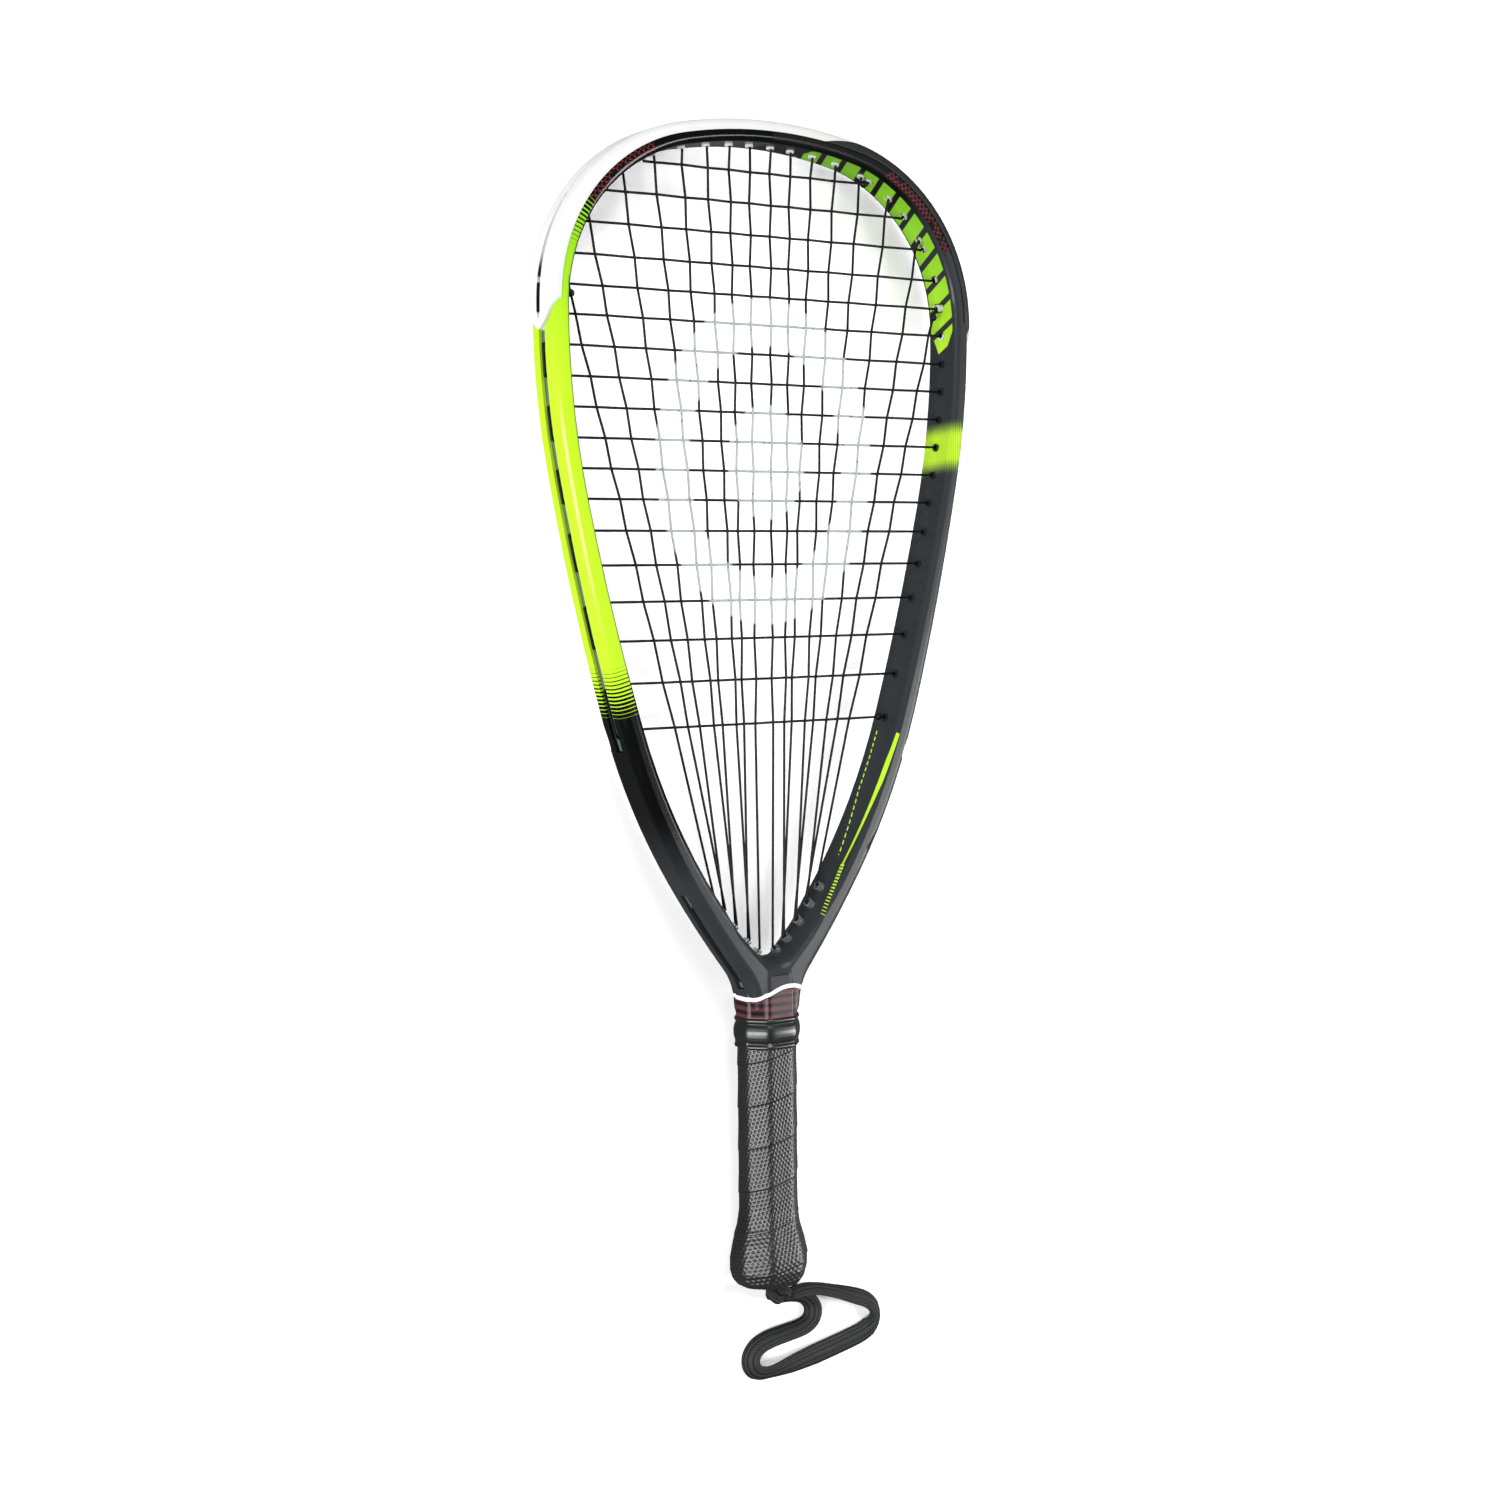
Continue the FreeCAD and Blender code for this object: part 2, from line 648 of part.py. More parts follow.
def pad(body, sketch, length):
    """Pad up the handle from a sketch."""
    item = body.newObject("PartDesign::Pad", sketch.Name + "_pad")
    item.Profile = sketch
    item.Reversed = True
    item.setExpression("Length", length)
    return item


def pocket_up(body, sketch, length):
    """Pocket up the handle from a sketch."""
    item = body.newObject("PartDesign::Pocket", sketch.Name + "_pocket")
    item.Profile = sketch
    item.setExpression("Length", length)
    return item


def round_edges(body, base, chosen, radius):
    """Fillet the edges of a feature that a test picks."""
    document.recompute()
    names = ["Edge%d" % number for number, edge in enumerate(base.Shape.Edges, start=1) if chosen(edge)]
    item = body.newObject("PartDesign::Fillet", body.Name + "_rounding")
    item.Base = (base, names)
    item.setExpression("Radius", radius)
    return item


def staple_boxes(name, growth):
    """Two wire staples, through the front and the back of the butt cap, as fused boxes."""
    boxes = []
    wire = "sizes.staple_wire + %s" % (2 * growth)
    leg = "sizes.staple_leg + sizes.staple_wire"
    for side, sign in (("front", 1), ("back", -1)):
        for piece, place_x, wide, tall in (
                ("crown", "-sizes.staple_crown / 2", "sizes.staple_crown", wire),
                ("leg_a", "-sizes.staple_crown / 2", wire, leg),
                ("leg_b", "sizes.staple_crown / 2 - sizes.staple_wire", wire, leg)):
            box = document.addObject("Part::Box", "%s_%s_%s" % (name, side, piece))
            reach = "sizes.staple_seat + sizes.staple_wire + %s" % growth
            grown = wide if wide == wire else wide + " + %s" % (2 * growth)
            height = tall if tall == wire else tall + " + %s" % (2 * growth)
            box.setExpression("Length", grown)
            box.setExpression("Width", wire)
            box.setExpression("Height", height)
            box.setExpression("Placement.Base.x", "%s - %s" % (place_x, growth))
            box.setExpression("Placement.Base.y", "sizes.staple_station - %s" % growth)
            low = "%s - (%s)" % (reach, height) if sign > 0 else "-(%s)" % reach
            box.setExpression("Placement.Base.z", low)
            boxes.append(box)
    fused = document.addObject("Part::MultiFuse", name)
    fused.Shapes = boxes
    return fused


def cut_away(name, base, tool):
    item = document.addObject("Part::Cut", name)
    item.Base = base
    item.Tool = tool
    return item


def make_pallet():
    """Moulded foam core that gives the handle its octagon, with a thinner tenon inside the butt cap."""
    body = document.addObject("PartDesign::Body", "pallet_body")
    tenon = octagon_sketch(body, "pallet_tenon", "sizes.tenon_width", "sizes.tenon_depth",
                           "sizes.pallet_bottom")
    pad(body, tenon, "sizes.cap_top - sizes.pallet_bottom + 1")
    core = octagon_sketch(body, "pallet_core", "sizes.pallet_width", "sizes.pallet_depth",
                          "sizes.cap_top + 0.1")
    pad(body, core, "sizes.pallet_top - sizes.cap_top - 0.1")
    bore = octagon_sketch(body, "pallet_bore", "sizes.pallet_bore_width", "sizes.pallet_bore_depth",
                          "sizes.pallet_bottom - 1")
    pocket_up(body, bore, "sizes.pallet_top")
    return body


def through_sections():
    """Grip sections carried past both ends of the handle, so that their solid cuts it open."""
    first, last = GRIP_SECTIONS[0], GRIP_SECTIONS[-1]
    return [(first[0] - 1, *first[1:])] + GRIP_SECTIONS[1:-1] + [(last[0] + 1, *last[1:])]


def grip_wrap_shape():
    """Perforated wrap as one sleeve over the pallet and the flare of the butt."""
    return handle_solid(GRIP_SECTIONS).cut(handle_solid(through_sections(), size("grip_thickness")))


def butt_cap_shape():
    """Hollow moulded cap: flared outside, a socket for the pallet, an end wall with the lanyard hole."""
    low = 0.4
    outside = handle_solid(through_sections(), size("grip_thickness") + 0.05)
    block = outside.common(station_box(low, size("cap_top"), 60))
    socket_width, socket_depth = size("tenon_width") + 0.2, size("tenon_depth") + 0.2
    socket = prism(socket_width, socket_depth, low + size("end_wall"), size("cap_top") + 5)
    offset = Vector(size("lanyard_offset"), 0, 0)
    hole = rod(offset + Vector(0, -3, 0), offset + Vector(0, 8, 0), size("tether_diameter") / 2 + 0.2)
    return block.cut([socket, hole])


staple_slots = staple_boxes("staple_slots", 0.05)
place(cut_away("handle_pallet", make_pallet(), staple_slots), "handle_pallet")
cap_blank = document.addObject("Part::Feature", "cap_blank")
cap_blank.Shape = butt_cap_shape()
place(cut_away("butt_cap", cap_blank, staple_slots), "butt_cap")
place(staple_boxes("butt_cap_staples", 0.0), "butt_cap_staples")
add_feature("grip_wrap", grip_wrap_shape())


def make_tape():
    """Thin finishing tape over the top edge of the grip."""
    body = document.addObject("PartDesign::Body", "finishing_tape")
    around = "sizes.grip_%s + 0.04"
    skin = " + 2 * sizes.tape_thickness"
    bottom = "sizes.collar_bottom + 0.3"
    outer = octagon_sketch(body, "tape_outer", around % "width" + skin, around % "depth" + skin, bottom)
    pad(body, outer, "sizes.tape_length")
    inner = octagon_sketch(body, "tape_inner", around % "width", around % "depth", bottom + " - 1")
    pocket_up(body, inner, "sizes.tape_length + 5")
    return body


def on_rib(edge):
    """Whether an edge runs round the collar on the outside of a rib or of the band."""
    wide, deep = size("collar_width") / 2, size("collar_depth") / 2
    middle = edge.BoundBox.Center
    across, high = abs(middle.x), abs(middle.z)
    cut = 2 * CHAMFER_RATIO * deep
    outside = max(across / wide, high / deep, (across + high) / (wide + deep - cut))
    return edge.BoundBox.YLength < 0.01 and outside > 1.01


def make_collar():
    """Rubber collar over the top of the grip: two ribs with a swollen band between them."""
    body = document.addObject("PartDesign::Body", "rubber_collar")
    wide, deep = "sizes.collar_width", "sizes.collar_depth"
    sleeve = octagon_sketch(body, "collar_sleeve", wide, deep, "sizes.collar_bottom")
    pad(body, sleeve, "sizes.collar_length")
    ribs = [("collar_low_rib", "0", "sizes.collar_rib", 0.8),
            ("collar_top_rib", "sizes.collar_length - sizes.collar_rib", "sizes.collar_rib", 0.8),
            ("collar_band", "(sizes.collar_length - sizes.collar_belly) / 2", "sizes.collar_belly", 1.0)]
    for name, start, length, swell in ribs:
        outline = octagon_sketch(body, name, "%s + %s" % (wide, 2 * swell), "%s + %s" % (deep, 2 * swell),
                                 "sizes.collar_bottom + " + start)
        last = pad(body, outline, length)
    round_edges(body, last, on_rib, "sizes.collar_rounding")
    bore = octagon_sketch(body, "collar_bore", "sizes.grip_width + 0.2 + 2 * sizes.tape_thickness",
                          "sizes.grip_depth + 0.2 + 2 * sizes.tape_thickness", "sizes.collar_bottom - 1")
    pocket_up(body, bore, "sizes.collar_length + 5")
    return body


place(make_tape(), "finishing_tape")
place(make_collar(), "rubber_collar")


# ---------------------------------------------------------------- wrist lanyard

KNOT_CENTRE = Vector(size("lanyard_offset"), -1.4 - size("lanyard_knot_diameter") / 2, 0)
INNER_KNOT_STATION = 9.6
TETHER_END = -1.1
CORD_RADIUS = size("lanyard_diameter") / 2
FLOOR_LINE = CORD_RADIUS + 0.1 - size("butt_depth") / 2     # height of the cord where it lies down

# Route of the loop from the knot and back to it: across, station, height over the string plane.
LANYARD_ROUTE = [
    (10.2, -11.2, -4.4), (17, -13.0, -8.8), (24.4, -14.6, -12.2), (31.4, -16.8, FLOOR_LINE),
    (35.6, -21.8, FLOOR_LINE), (34.9, -28.2, FLOOR_LINE), (29.6, -31.8, FLOOR_LINE), (19.5, -33.0, FLOOR_LINE),
    (9.0, -34.2, FLOOR_LINE), (1.4, -36.4, FLOOR_LINE), (-2.8, -41.4, FLOOR_LINE), (-1.8, -47.7, FLOOR_LINE),
    (3.4, -51.3, FLOOR_LINE), (12, -51.2, FLOOR_LINE), (24.5, -49.9, FLOOR_LINE), (37, -48.0, FLOOR_LINE),
    (49, -45.9, FLOOR_LINE), (59.5, -43.9, FLOOR_LINE), (68, -42.0, FLOOR_LINE), (74.2, -38.0, FLOOR_LINE),
    (75.1, -30.9, FLOOR_LINE), (70.4, -25.6, FLOOR_LINE), (62.0, -22.0, FLOOR_LINE), (53.0, -18.6, FLOOR_LINE),
    (44.0, -15.2, -10.8), (35.2, -11.7, -6.6), (27, -9.1, -2.8), (19.8, -7.7, 0.2), (13.0, -7.3, 2.0)]


def bend_radii(points):
    """Largest arc at each corner that its two runs allow."""
    radii = [0.0]
    for before, corner, after in zip(points, points[1:], points[2:]):
        turn = (corner - before).getAngle(after - corner)
        shorter = min((corner - before).Length, (after - corner).Length)
        radii.append(0.45 * shorter / math.tan(turn / 2))
    return radii + [0.0]


def lanyard_tube():
    points = [Vector(*place_on_route) for place_on_route in LANYARD_ROUTE]
    radii = bend_radii(points)
    path = tangent_path(points, radii)
    section = Part.Wire(Part.makeCircle(CORD_RADIUS, points[0], points[1] - points[0]))
    cord = path.makePipeShell([section], True, False)
    print("lanyard radii " + " ".join("%.1f" % radius for radius in radii[1:-1]))
    print("lanyard length %.1f" % path.Length)
    print("lanyard volume %.0f, section times length %.0f" % (
        cord.Volume, math.pi * CORD_RADIUS ** 2 * path.Length))
    return cord


def round_body(name, centre, diameter):
    """Sphere bound to the sheet, at a place along the lanyard's exit."""
    ball = document.addObject("Part::Sphere", name)
    ball.setExpression("Radius", "sizes.%s / 2" % diameter)
    ball.Placement.Base = centre
    return ball


def tether_rod(name):
    """Doubled cord through the hole in the butt cap, as a plain rod from the inner knot down."""
    item = document.addObject("Part::Cylinder", name)
    item.setExpression("Radius", "sizes.tether_diameter / 2")
    item.Height = INNER_KNOT_STATION - TETHER_END
    start = Vector(size("lanyard_offset"), INNER_KNOT_STATION, 0)
    item.Placement = FreeCAD.Placement(start, FreeCAD.Rotation(Vector(1, 0, 0), 90))
    return item


def wrapped(name, piece):
    """Sub-part that holds one primitive, so that the racket's placement adds to the primitive's own."""
    item = document.addObject("Part::Compound", name)
    item.Links = [piece]
    return place(item, name)


inner_centre = Vector(size("lanyard_offset"), INNER_KNOT_STATION, 0)
inner_ball = round_body("inner_knot_ball", inner_centre, "inner_knot_diameter")
place(cut_away("lanyard_inner_knot", inner_ball, tether_rod("inner_knot_hole")), "lanyard_inner_knot")
wrapped("lanyard_tether", tether_rod("tether_rod"))
wrapped("lanyard_knot", round_body("knot_ball", KNOT_CENTRE, "lanyard_knot_diameter"))
add_feature("lanyard_loop", lanyard_tube())


# ---------------------------------------------------------------- checks and export

document.recompute()
for item in document.Objects:
    if "Invalid" in item.State or "Error" in item.State:
        raise RuntimeError("failed object: " + item.Label)
for item in PARTS:
    if item.Shape.isNull() or not item.Shape.isValid():
        raise RuntimeError("bad shape: " + item.Label)

os.makedirs("parts", exist_ok=True)
for item in PARTS:
    item.Shape.exportStep(os.path.join("parts", item.Label + ".step"))
    print("%-28s solids %d  volume %.0f" % (item.Label, len(item.Shape.Solids), item.Shape.Volume))
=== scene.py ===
import math

import bpy
import numpy as np
from mathutils import Matrix, Vector


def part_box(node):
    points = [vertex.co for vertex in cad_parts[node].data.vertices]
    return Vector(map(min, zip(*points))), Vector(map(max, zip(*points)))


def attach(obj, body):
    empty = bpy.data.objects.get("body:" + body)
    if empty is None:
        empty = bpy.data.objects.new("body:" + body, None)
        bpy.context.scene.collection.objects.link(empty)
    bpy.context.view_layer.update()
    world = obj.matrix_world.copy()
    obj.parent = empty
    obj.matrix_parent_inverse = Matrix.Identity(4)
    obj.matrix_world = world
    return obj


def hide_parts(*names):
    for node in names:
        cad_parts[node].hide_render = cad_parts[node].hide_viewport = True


# Looks of a strung racket with a wound grip and a wrist lanyard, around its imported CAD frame. Metres.
# The racket lies flat: X across the head, Y towards the crown, Z up from the surface that it lies on.

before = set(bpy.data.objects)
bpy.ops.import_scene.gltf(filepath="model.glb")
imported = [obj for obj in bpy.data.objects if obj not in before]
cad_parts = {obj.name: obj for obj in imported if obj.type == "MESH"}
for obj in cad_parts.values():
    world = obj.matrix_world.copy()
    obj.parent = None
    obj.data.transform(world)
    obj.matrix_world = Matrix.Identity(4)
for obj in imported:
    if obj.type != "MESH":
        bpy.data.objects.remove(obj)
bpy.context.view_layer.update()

MM = 0.001
GRIP_LOW, GRIP_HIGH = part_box("grip_wrap")
BUTT_Y = GRIP_LOW.y                                # the butt end, from which stations are counted
STRING_Z = (GRIP_LOW.z + GRIP_HIGH.z) / 2          # height of the string plane


def at(across, station, height):
    """Row-frame point of a place in millimetres: across the head, from the butt end, over the strings."""
    return Vector((across * MM, BUTT_Y + station * MM, STRING_Z + height * MM))


# ---------------------------------------------------------------- camera

CAMERA_PLACE = Vector((-0.6171, 0.0692, 0.9327))
CAMERA_RIGHT = Vector((0.83239, -0.00874, 0.55412))
CAMERA_UP = Vector((0.05055, 0.99690, -0.06021))
CAMERA_LENS = 55.08
SENSOR = 36.0


def make_camera():
    """Camera over the left side of the head."""
    data = bpy.data.cameras.new("camera")
    data.sensor_width = SENSOR
    data.lens = CAMERA_LENS
    data.clip_start = 0.05
    camera = bpy.data.objects.new("camera", data)
    bpy.context.scene.collection.objects.link(camera)
    back = CAMERA_RIGHT.cross(CAMERA_UP).normalized()
    up = back.cross(CAMERA_RIGHT).normalized()
    turn = Matrix((CAMERA_RIGHT.normalized(), up, back)).transposed()
    camera.matrix_world = Matrix.Translation(CAMERA_PLACE) @ turn.to_4x4()
    bpy.context.scene.camera = camera


# ---------------------------------------------------------------- mesh helpers

def mesh_piece(name, vertices, faces, smooth=True, uv=None):
    """Mesh object in the row frame; uv gives one pair per vertex."""
    mesh = bpy.data.meshes.new(name)
    mesh.from_pydata([tuple(v) for v in vertices], [], faces)
    if uv is not None:
        layer = mesh.uv_layers.new(name="along")
        corners = np.zeros(len(mesh.loops), np.int32)
        mesh.loops.foreach_get("vertex_index", corners)
        layer.data.foreach_set("uv", np.asarray(uv, np.float32)[corners].ravel())
    mesh.polygons.foreach_set("use_smooth", [smooth] * len(mesh.polygons))
    mesh.update()
    item = bpy.data.objects.new(name, mesh)
    bpy.context.scene.collection.objects.link(item)
    return item


def ring_faces(rings, around):
    """Quads between rings of points, each ring closed on itself."""
    faces = []
    for ring in range(rings - 1):
        for column in range(around):
            a = ring * around + column
            b = ring * around + (column + 1) % around
            faces.append((a, b, b + around, a + around))
    return faces


def unit_rows(vectors):
    """The same directions with a length of 1."""
    return vectors / np.linalg.norm(vectors, axis=1)[:, None]


def distance_along(line):
    """Distance from the line's start to each of its points."""
    return np.concatenate([[0], np.cumsum(np.linalg.norm(np.diff(line, axis=0), axis=1))])


def tube_points(line, sections, side, top):
    """Vertices of a tube, with a section drawn in the side and top directions at each point of the line."""
    points = line[:, None] + sections[..., :1] * side[:, None] + sections[..., 1:] * top[:, None]
    return points.reshape(-1, 3)


def tube_uv(line, around, uv_scale):
    """One pair for each vertex: distance along the line over the scale, and share of the way round."""
    along = np.repeat(distance_along(line) / uv_scale, around)
    return np.stack([along, np.tile(np.arange(around) / around, len(line))], axis=1)


def sweep(name, line, sections, frames, uv_scale):
    """Tube with a section in each frame along the line, closed at both ends."""
    count, around = len(line), len(sections[0])
    vertices = tube_points(line, sections, *frames)
    first, last = len(vertices), len(vertices) + 1
    vertices = np.concatenate([vertices, [line[0], line[-1]]])
    end_uv = [[0, 0.5], [distance_along(line)[-1] / uv_scale, 0.5]]
    uv = np.concatenate([tube_uv(line, around, uv_scale), end_uv])
    faces = ring_faces(count, around)
    for column in range(around):
        after = (column + 1) % around
        faces.append((first, after, column))
        faces.append((last, (count - 1) * around + column, (count - 1) * around + after))
    return mesh_piece(name, vertices, faces, uv=uv)


# ---------------------------------------------------------------- shader helpers

class Shader:
    """Node tree of one material, written as expressions."""

    def __init__(self, name):
        self.material = bpy.data.materials.new(name)
        self.material.use_nodes = True
        self.tree = self.material.node_tree
        self.surface = self.tree.nodes["Principled BSDF"]
        coordinates = self.tree.nodes.new("ShaderNodeTexCoord")
        self.place = coordinates.outputs["Object"]
        self.normal = coordinates.outputs["Normal"]
        self.uv = coordinates.outputs["UV"]

    def node(self, kind, inputs=(), **settings):
        """New node with its settings, and its inputs as pairs of socket and value."""
        item = self.tree.nodes.new(kind)
        for name, value in settings.items():
            setattr(item, name, value)
        for socket, value in inputs:
            self.feed(item.inputs[socket], value)
        return item

    def feed(self, socket, value):
        """Link a socket to the input, or set its value."""
        if isinstance(value, bpy.types.NodeSocket):
            self.tree.links.new(value, socket)
        else:
            socket.default_value = value

    def math(self, operation, *values, clamp=False):
        item = self.node("ShaderNodeMath", list(enumerate(values)), operation=operation, use_clamp=clamp)
        return item.outputs[0]

    def add(self, a, b):
        return self.math("ADD", a, b)

    def sub(self, a, b):
        return self.math("SUBTRACT", a, b)

    def mul(self, a, b):
        return self.math("MULTIPLY", a, b)

    def divide(self, a, b):
        return self.math("DIVIDE", a, b)

    def fraction(self, value):
        return self.math("FRACT", value)

    def absolute(self, value):
        return self.math("ABSOLUTE", value)

    def hypot(self, a, b):
        return self.math("SQRT", self.add(self.mul(a, a), self.mul(b, b)))

    def both(self, *masks):
        """Where all the masks are."""
        total = masks[0]
        for mask in masks[1:]:
            total = self.mul(total, mask)
        return total

    def either(self, *masks):
        """Where any of the masks is."""
        total = masks[0]
        for mask in masks[1:]:
            total = self.math("MAXIMUM", total, mask)
        return total

    def inverse(self, mask):
        return self.sub(1.0, mask)

    def ramp(self, value, low, high, soft=True):
        """0 below low, 1 above high."""
        kind = "SMOOTHSTEP" if soft else "LINEAR"
        return self.node("ShaderNodeMapRange", [("Value", value), ("From Min", low), ("From Max", high)],
                         interpolation_type=kind).outputs["Result"]

    def above(self, value, edge, soft=0.05):
        """1 over the edge and 0 under it, with a soft step between."""
        return self.ramp(self.sub(value, edge), -soft, soft)

    def below(self, value, edge, soft=0.05):
        return self.inverse(self.above(value, edge, soft))

    def within(self, value, low, high, soft=0.05):
        return self.mul(self.above(value, low, soft), self.below(value, high, soft))

    def near(self, value, reach, soft=0.05):
        """1 within reach of zero."""
        return self.below(self.absolute(value), reach, soft)

    def wrap(self, value, period):
        """Share of the period, 0 to 1."""
        return self.fraction(self.divide(value, period))

    def odd_shift(self, row):
        """Half a step in every second row."""
        return self.mul(self.math("MODULO", self.absolute(self.math("FLOOR", row)), 2.0), 0.5)

    def mix(self, factor, a, b):
        """Mixed colour."""
        item = self.tree.nodes.new("ShaderNodeMix")
        item.data_type = "RGBA"
        for socket, value in ((item.inputs[0], factor), (item.inputs[6], a), (item.inputs[7], b)):
            if isinstance(value, tuple) and len(value) == 3:
                value = (*value, 1.0)
            self.feed(socket, value)
        return item.outputs[2]

    def blend(self, factor, a, b):
        """Mixed number."""
        return self.add(a if isinstance(a, bpy.types.NodeSocket) else float(a),
                        self.mul(factor, self.sub(b, a)))

    def noise(self, scale, detail=3.0, roughness=0.5):
        return self.node("ShaderNodeTexNoise", [("Vector", self.place), ("Scale", scale), ("Detail", detail),
                                                ("Roughness", roughness)]).outputs["Fac"]

    def split(self, vector):
        return self.node("ShaderNodeSeparateXYZ", [("Vector", vector)]).outputs

    def racket_place(self):
        """Across, station and height in millimetres, as numbers."""
        x, y, z = self.split(self.place)
        across = self.mul(x, 1000.0)
        station = self.mul(self.sub(y, BUTT_Y), 1000.0)
        height = self.mul(self.sub(z, STRING_Z), 1000.0)
        return across, station, height

    def bump(self, height, distance, strength=1.0):
        return self.node("ShaderNodeBump", [("Height", height), ("Distance", distance),
                                            ("Strength", strength)]).outputs["Normal"]

    def finish(self, **sockets):
        """Set the surface's named inputs and give the material."""
        for name, value in sockets.items():
            socket = self.surface.inputs[name.replace("_", " ").title().replace("Ior", "IOR")]
            if isinstance(value, tuple) and len(value) == 3:
                value = (*value, 1.0)
            self.feed(socket, value)
        return self.material


def dress(name, material):
    """Give a CAD node its material."""
    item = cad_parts[name]
    item.data.materials.clear()
    item.data.materials.append(material)


# ---------------------------------------------------------------- frame lacquer

LIME = (0.33, 0.55, 0.010)
LIME_DEEP = (0.12, 0.38, 0.004)
LIME_PALE = (0.48, 0.74, 0.06)
BLACK = (0.0015, 0.0018, 0.002)
CHARCOAL_DARK = (0.012, 0.014, 0.016)
CHARCOAL_LIGHT = (0.027, 0.031, 0.035)
SCALE_RED = (0.16, 0.02, 0.02)
SCALE_GROUND = (0.003, 0.002, 0.0025)
ROW_RED = (0.30, 0.075, 0.09)
ROW_GROUND = (0.006, 0.0055, 0.007)
PIN_WHITE = (0.80, 0.78, 0.77)

SHOULDER_CENTRE = (34.8, 471.4)        # centre of the arc of each shoulder of the head
SHOULDER_RADIUS = 83.6
STRIPE_SLANT = (0.26, 0.965)           # direction across the lower stripes of the left beam
LOW_FADE = (292.5, 322.0)              # slanted station over which those stripes widen into plain lime
HIGH_FADE = (20.0, 56.0)               # distance round the left shoulder over which the lime thins out again
LIME_ROUND_FROM = 480.0                # station from which the lime is counted round the shoulder
BLOCK_PITCH = 13.4
BLOCK_RUN = (-17.5, 142.0)             # distance round the right shoulder
BAND_STATION = 408.5
LINE_FOOT = (25.8, 181.2)              # across and station, on the right beam
LINE_JOINT = (40.7, 204.2)
LINE_HEAD = (72.5, 267.5)
EDGE_MARKS = (208.0, 268.0)
PIN_STATION = 145.4
PIN_SWING = 3.05                       # height of the pinstripe's wave
PIN_WAVE = 46.0                        # length of the pinstripe's wave


class FrameShader(Shader):
    """Shader that knows the side, the way round the shoulder and the face of each place on the frame."""

    def __init__(self, name):
        super().__init__(name)
        self.across, self.station, self.height = self.racket_place()
        self.side_x = self.absolute(self.across)
        self.left = self.below(self.across, 0.0, 0.5)
        self.right = self.inverse(self.left)
        dx = self.sub(self.side_x, SHOULDER_CENTRE[0])
        dy = self.sub(self.station, SHOULDER_CENTRE[1])
        turn = self.math("ARCTAN2", dy, dx)
        self.around = self.mul(turn, SHOULDER_RADIUS)
        self.reach = self.hypot(dx, dy)
        self.inward = self.facing_in(turn)
        self.inner_wall = self.above(self.inward, 0.55, 0.12)

    def facing_in(self, turn):
        """How squarely the surface faces the strings: sideways on the beams, radially round the shoulders."""
        nx, ny, _ = self.split(self.normal)
        sideways = self.mul(nx, self.math("SIGN", self.across))
        radial = self.add(self.mul(sideways, self.math("COSINE", turn)),
                          self.mul(ny, self.math("SINE", turn)))
        on_shoulder = self.above(self.station, SHOULDER_CENTRE[1], 2.0)
        return self.blend(on_shoulder, self.mul(sideways, -1.0), self.mul(radial, -1.0))


def beside_line(s, start, end):
    """Distance along a line on the racket's face, distance to its right, and its length."""
    length = math.hypot(end[0] - start[0], end[1] - start[1])
    ux, uy = (end[0] - start[0]) / length, (end[1] - start[1]) / length
    dx, dy = s.sub(s.across, start[0]), s.sub(s.station, start[1])
    along = s.add(s.mul(dx, ux), s.mul(dy, uy))
    aside = s.sub(s.mul(dx, uy), s.mul(dy, ux))
    return along, aside, length


def scale_marks(s, along, across, pitch, row_width):
    """Thin outlines of small pointed scales, in offset rows."""
    shift = s.odd_shift(s.divide(across, row_width))
    u = s.sub(s.fraction(s.add(s.divide(along, pitch), shift)), 0.5)
    v = s.sub(s.wrap(across, row_width), 0.5)
    curve = s.sub(s.mul(s.absolute(v), 0.8), u)
    return s.near(s.sub(curve, 0.12), 0.11)


def widening_stripes(s, along, pitch, share, soft):
    """Stripes that fill more of each pitch as the share grows, and all of it near 1."""
    return s.above(s.sub(s.wrap(along, pitch), s.sub(1.0, s.mul(share, 1.15))), 0.0, soft)


def lime_on_left(s):
    """Lime on the outer and front faces of the left beam, broken into stripes at both ends."""
    slant = s.add(s.mul(s.side_x, STRIPE_SLANT[0]), s.mul(s.station, STRIPE_SLANT[1]))
    low_share = s.ramp(slant, *LOW_FADE, soft=False)
    low = s.mul(widening_stripes(s, slant, 1.92, low_share, 0.06), s.above(slant, LOW_FADE[0] - 0.5, 0.05))
    high_share = s.inverse(s.ramp(s.around, *HIGH_FADE, soft=False))
    high_stripes = widening_stripes(s, s.around, 2.1, high_share, 0.08)
    high = s.blend(s.above(s.station, LIME_ROUND_FROM, 0.5), 1.0, high_stripes)
    return s.both(s.left, low, high, s.inverse(s.inner_wall), s.below(s.station, 540.0))


def scaled_shoulders(s):
    """Dark ground of the shoulders past the lime, and the ragged red scales on it."""
    left_zone = s.both(s.left, s.within(s.around, 50.0, 98.0, 3.0), s.above(s.station, 500.0))
    right_zone = s.both(s.right, s.within(s.around, 38.0, 96.0, 3.0), s.above(s.station, 490.0),
                        s.above(s.height, 6.0, 0.6))
    zone = s.both(s.either(left_zone, right_zone), s.inverse(s.inner_wall))
    marks = scale_marks(s, s.around, s.add(s.reach, s.height), 3.1, 1.7)
    ragged = s.above(s.noise(260.0, 1.0), 0.42, 0.03)
    return zone, s.both(marks, zone, ragged)


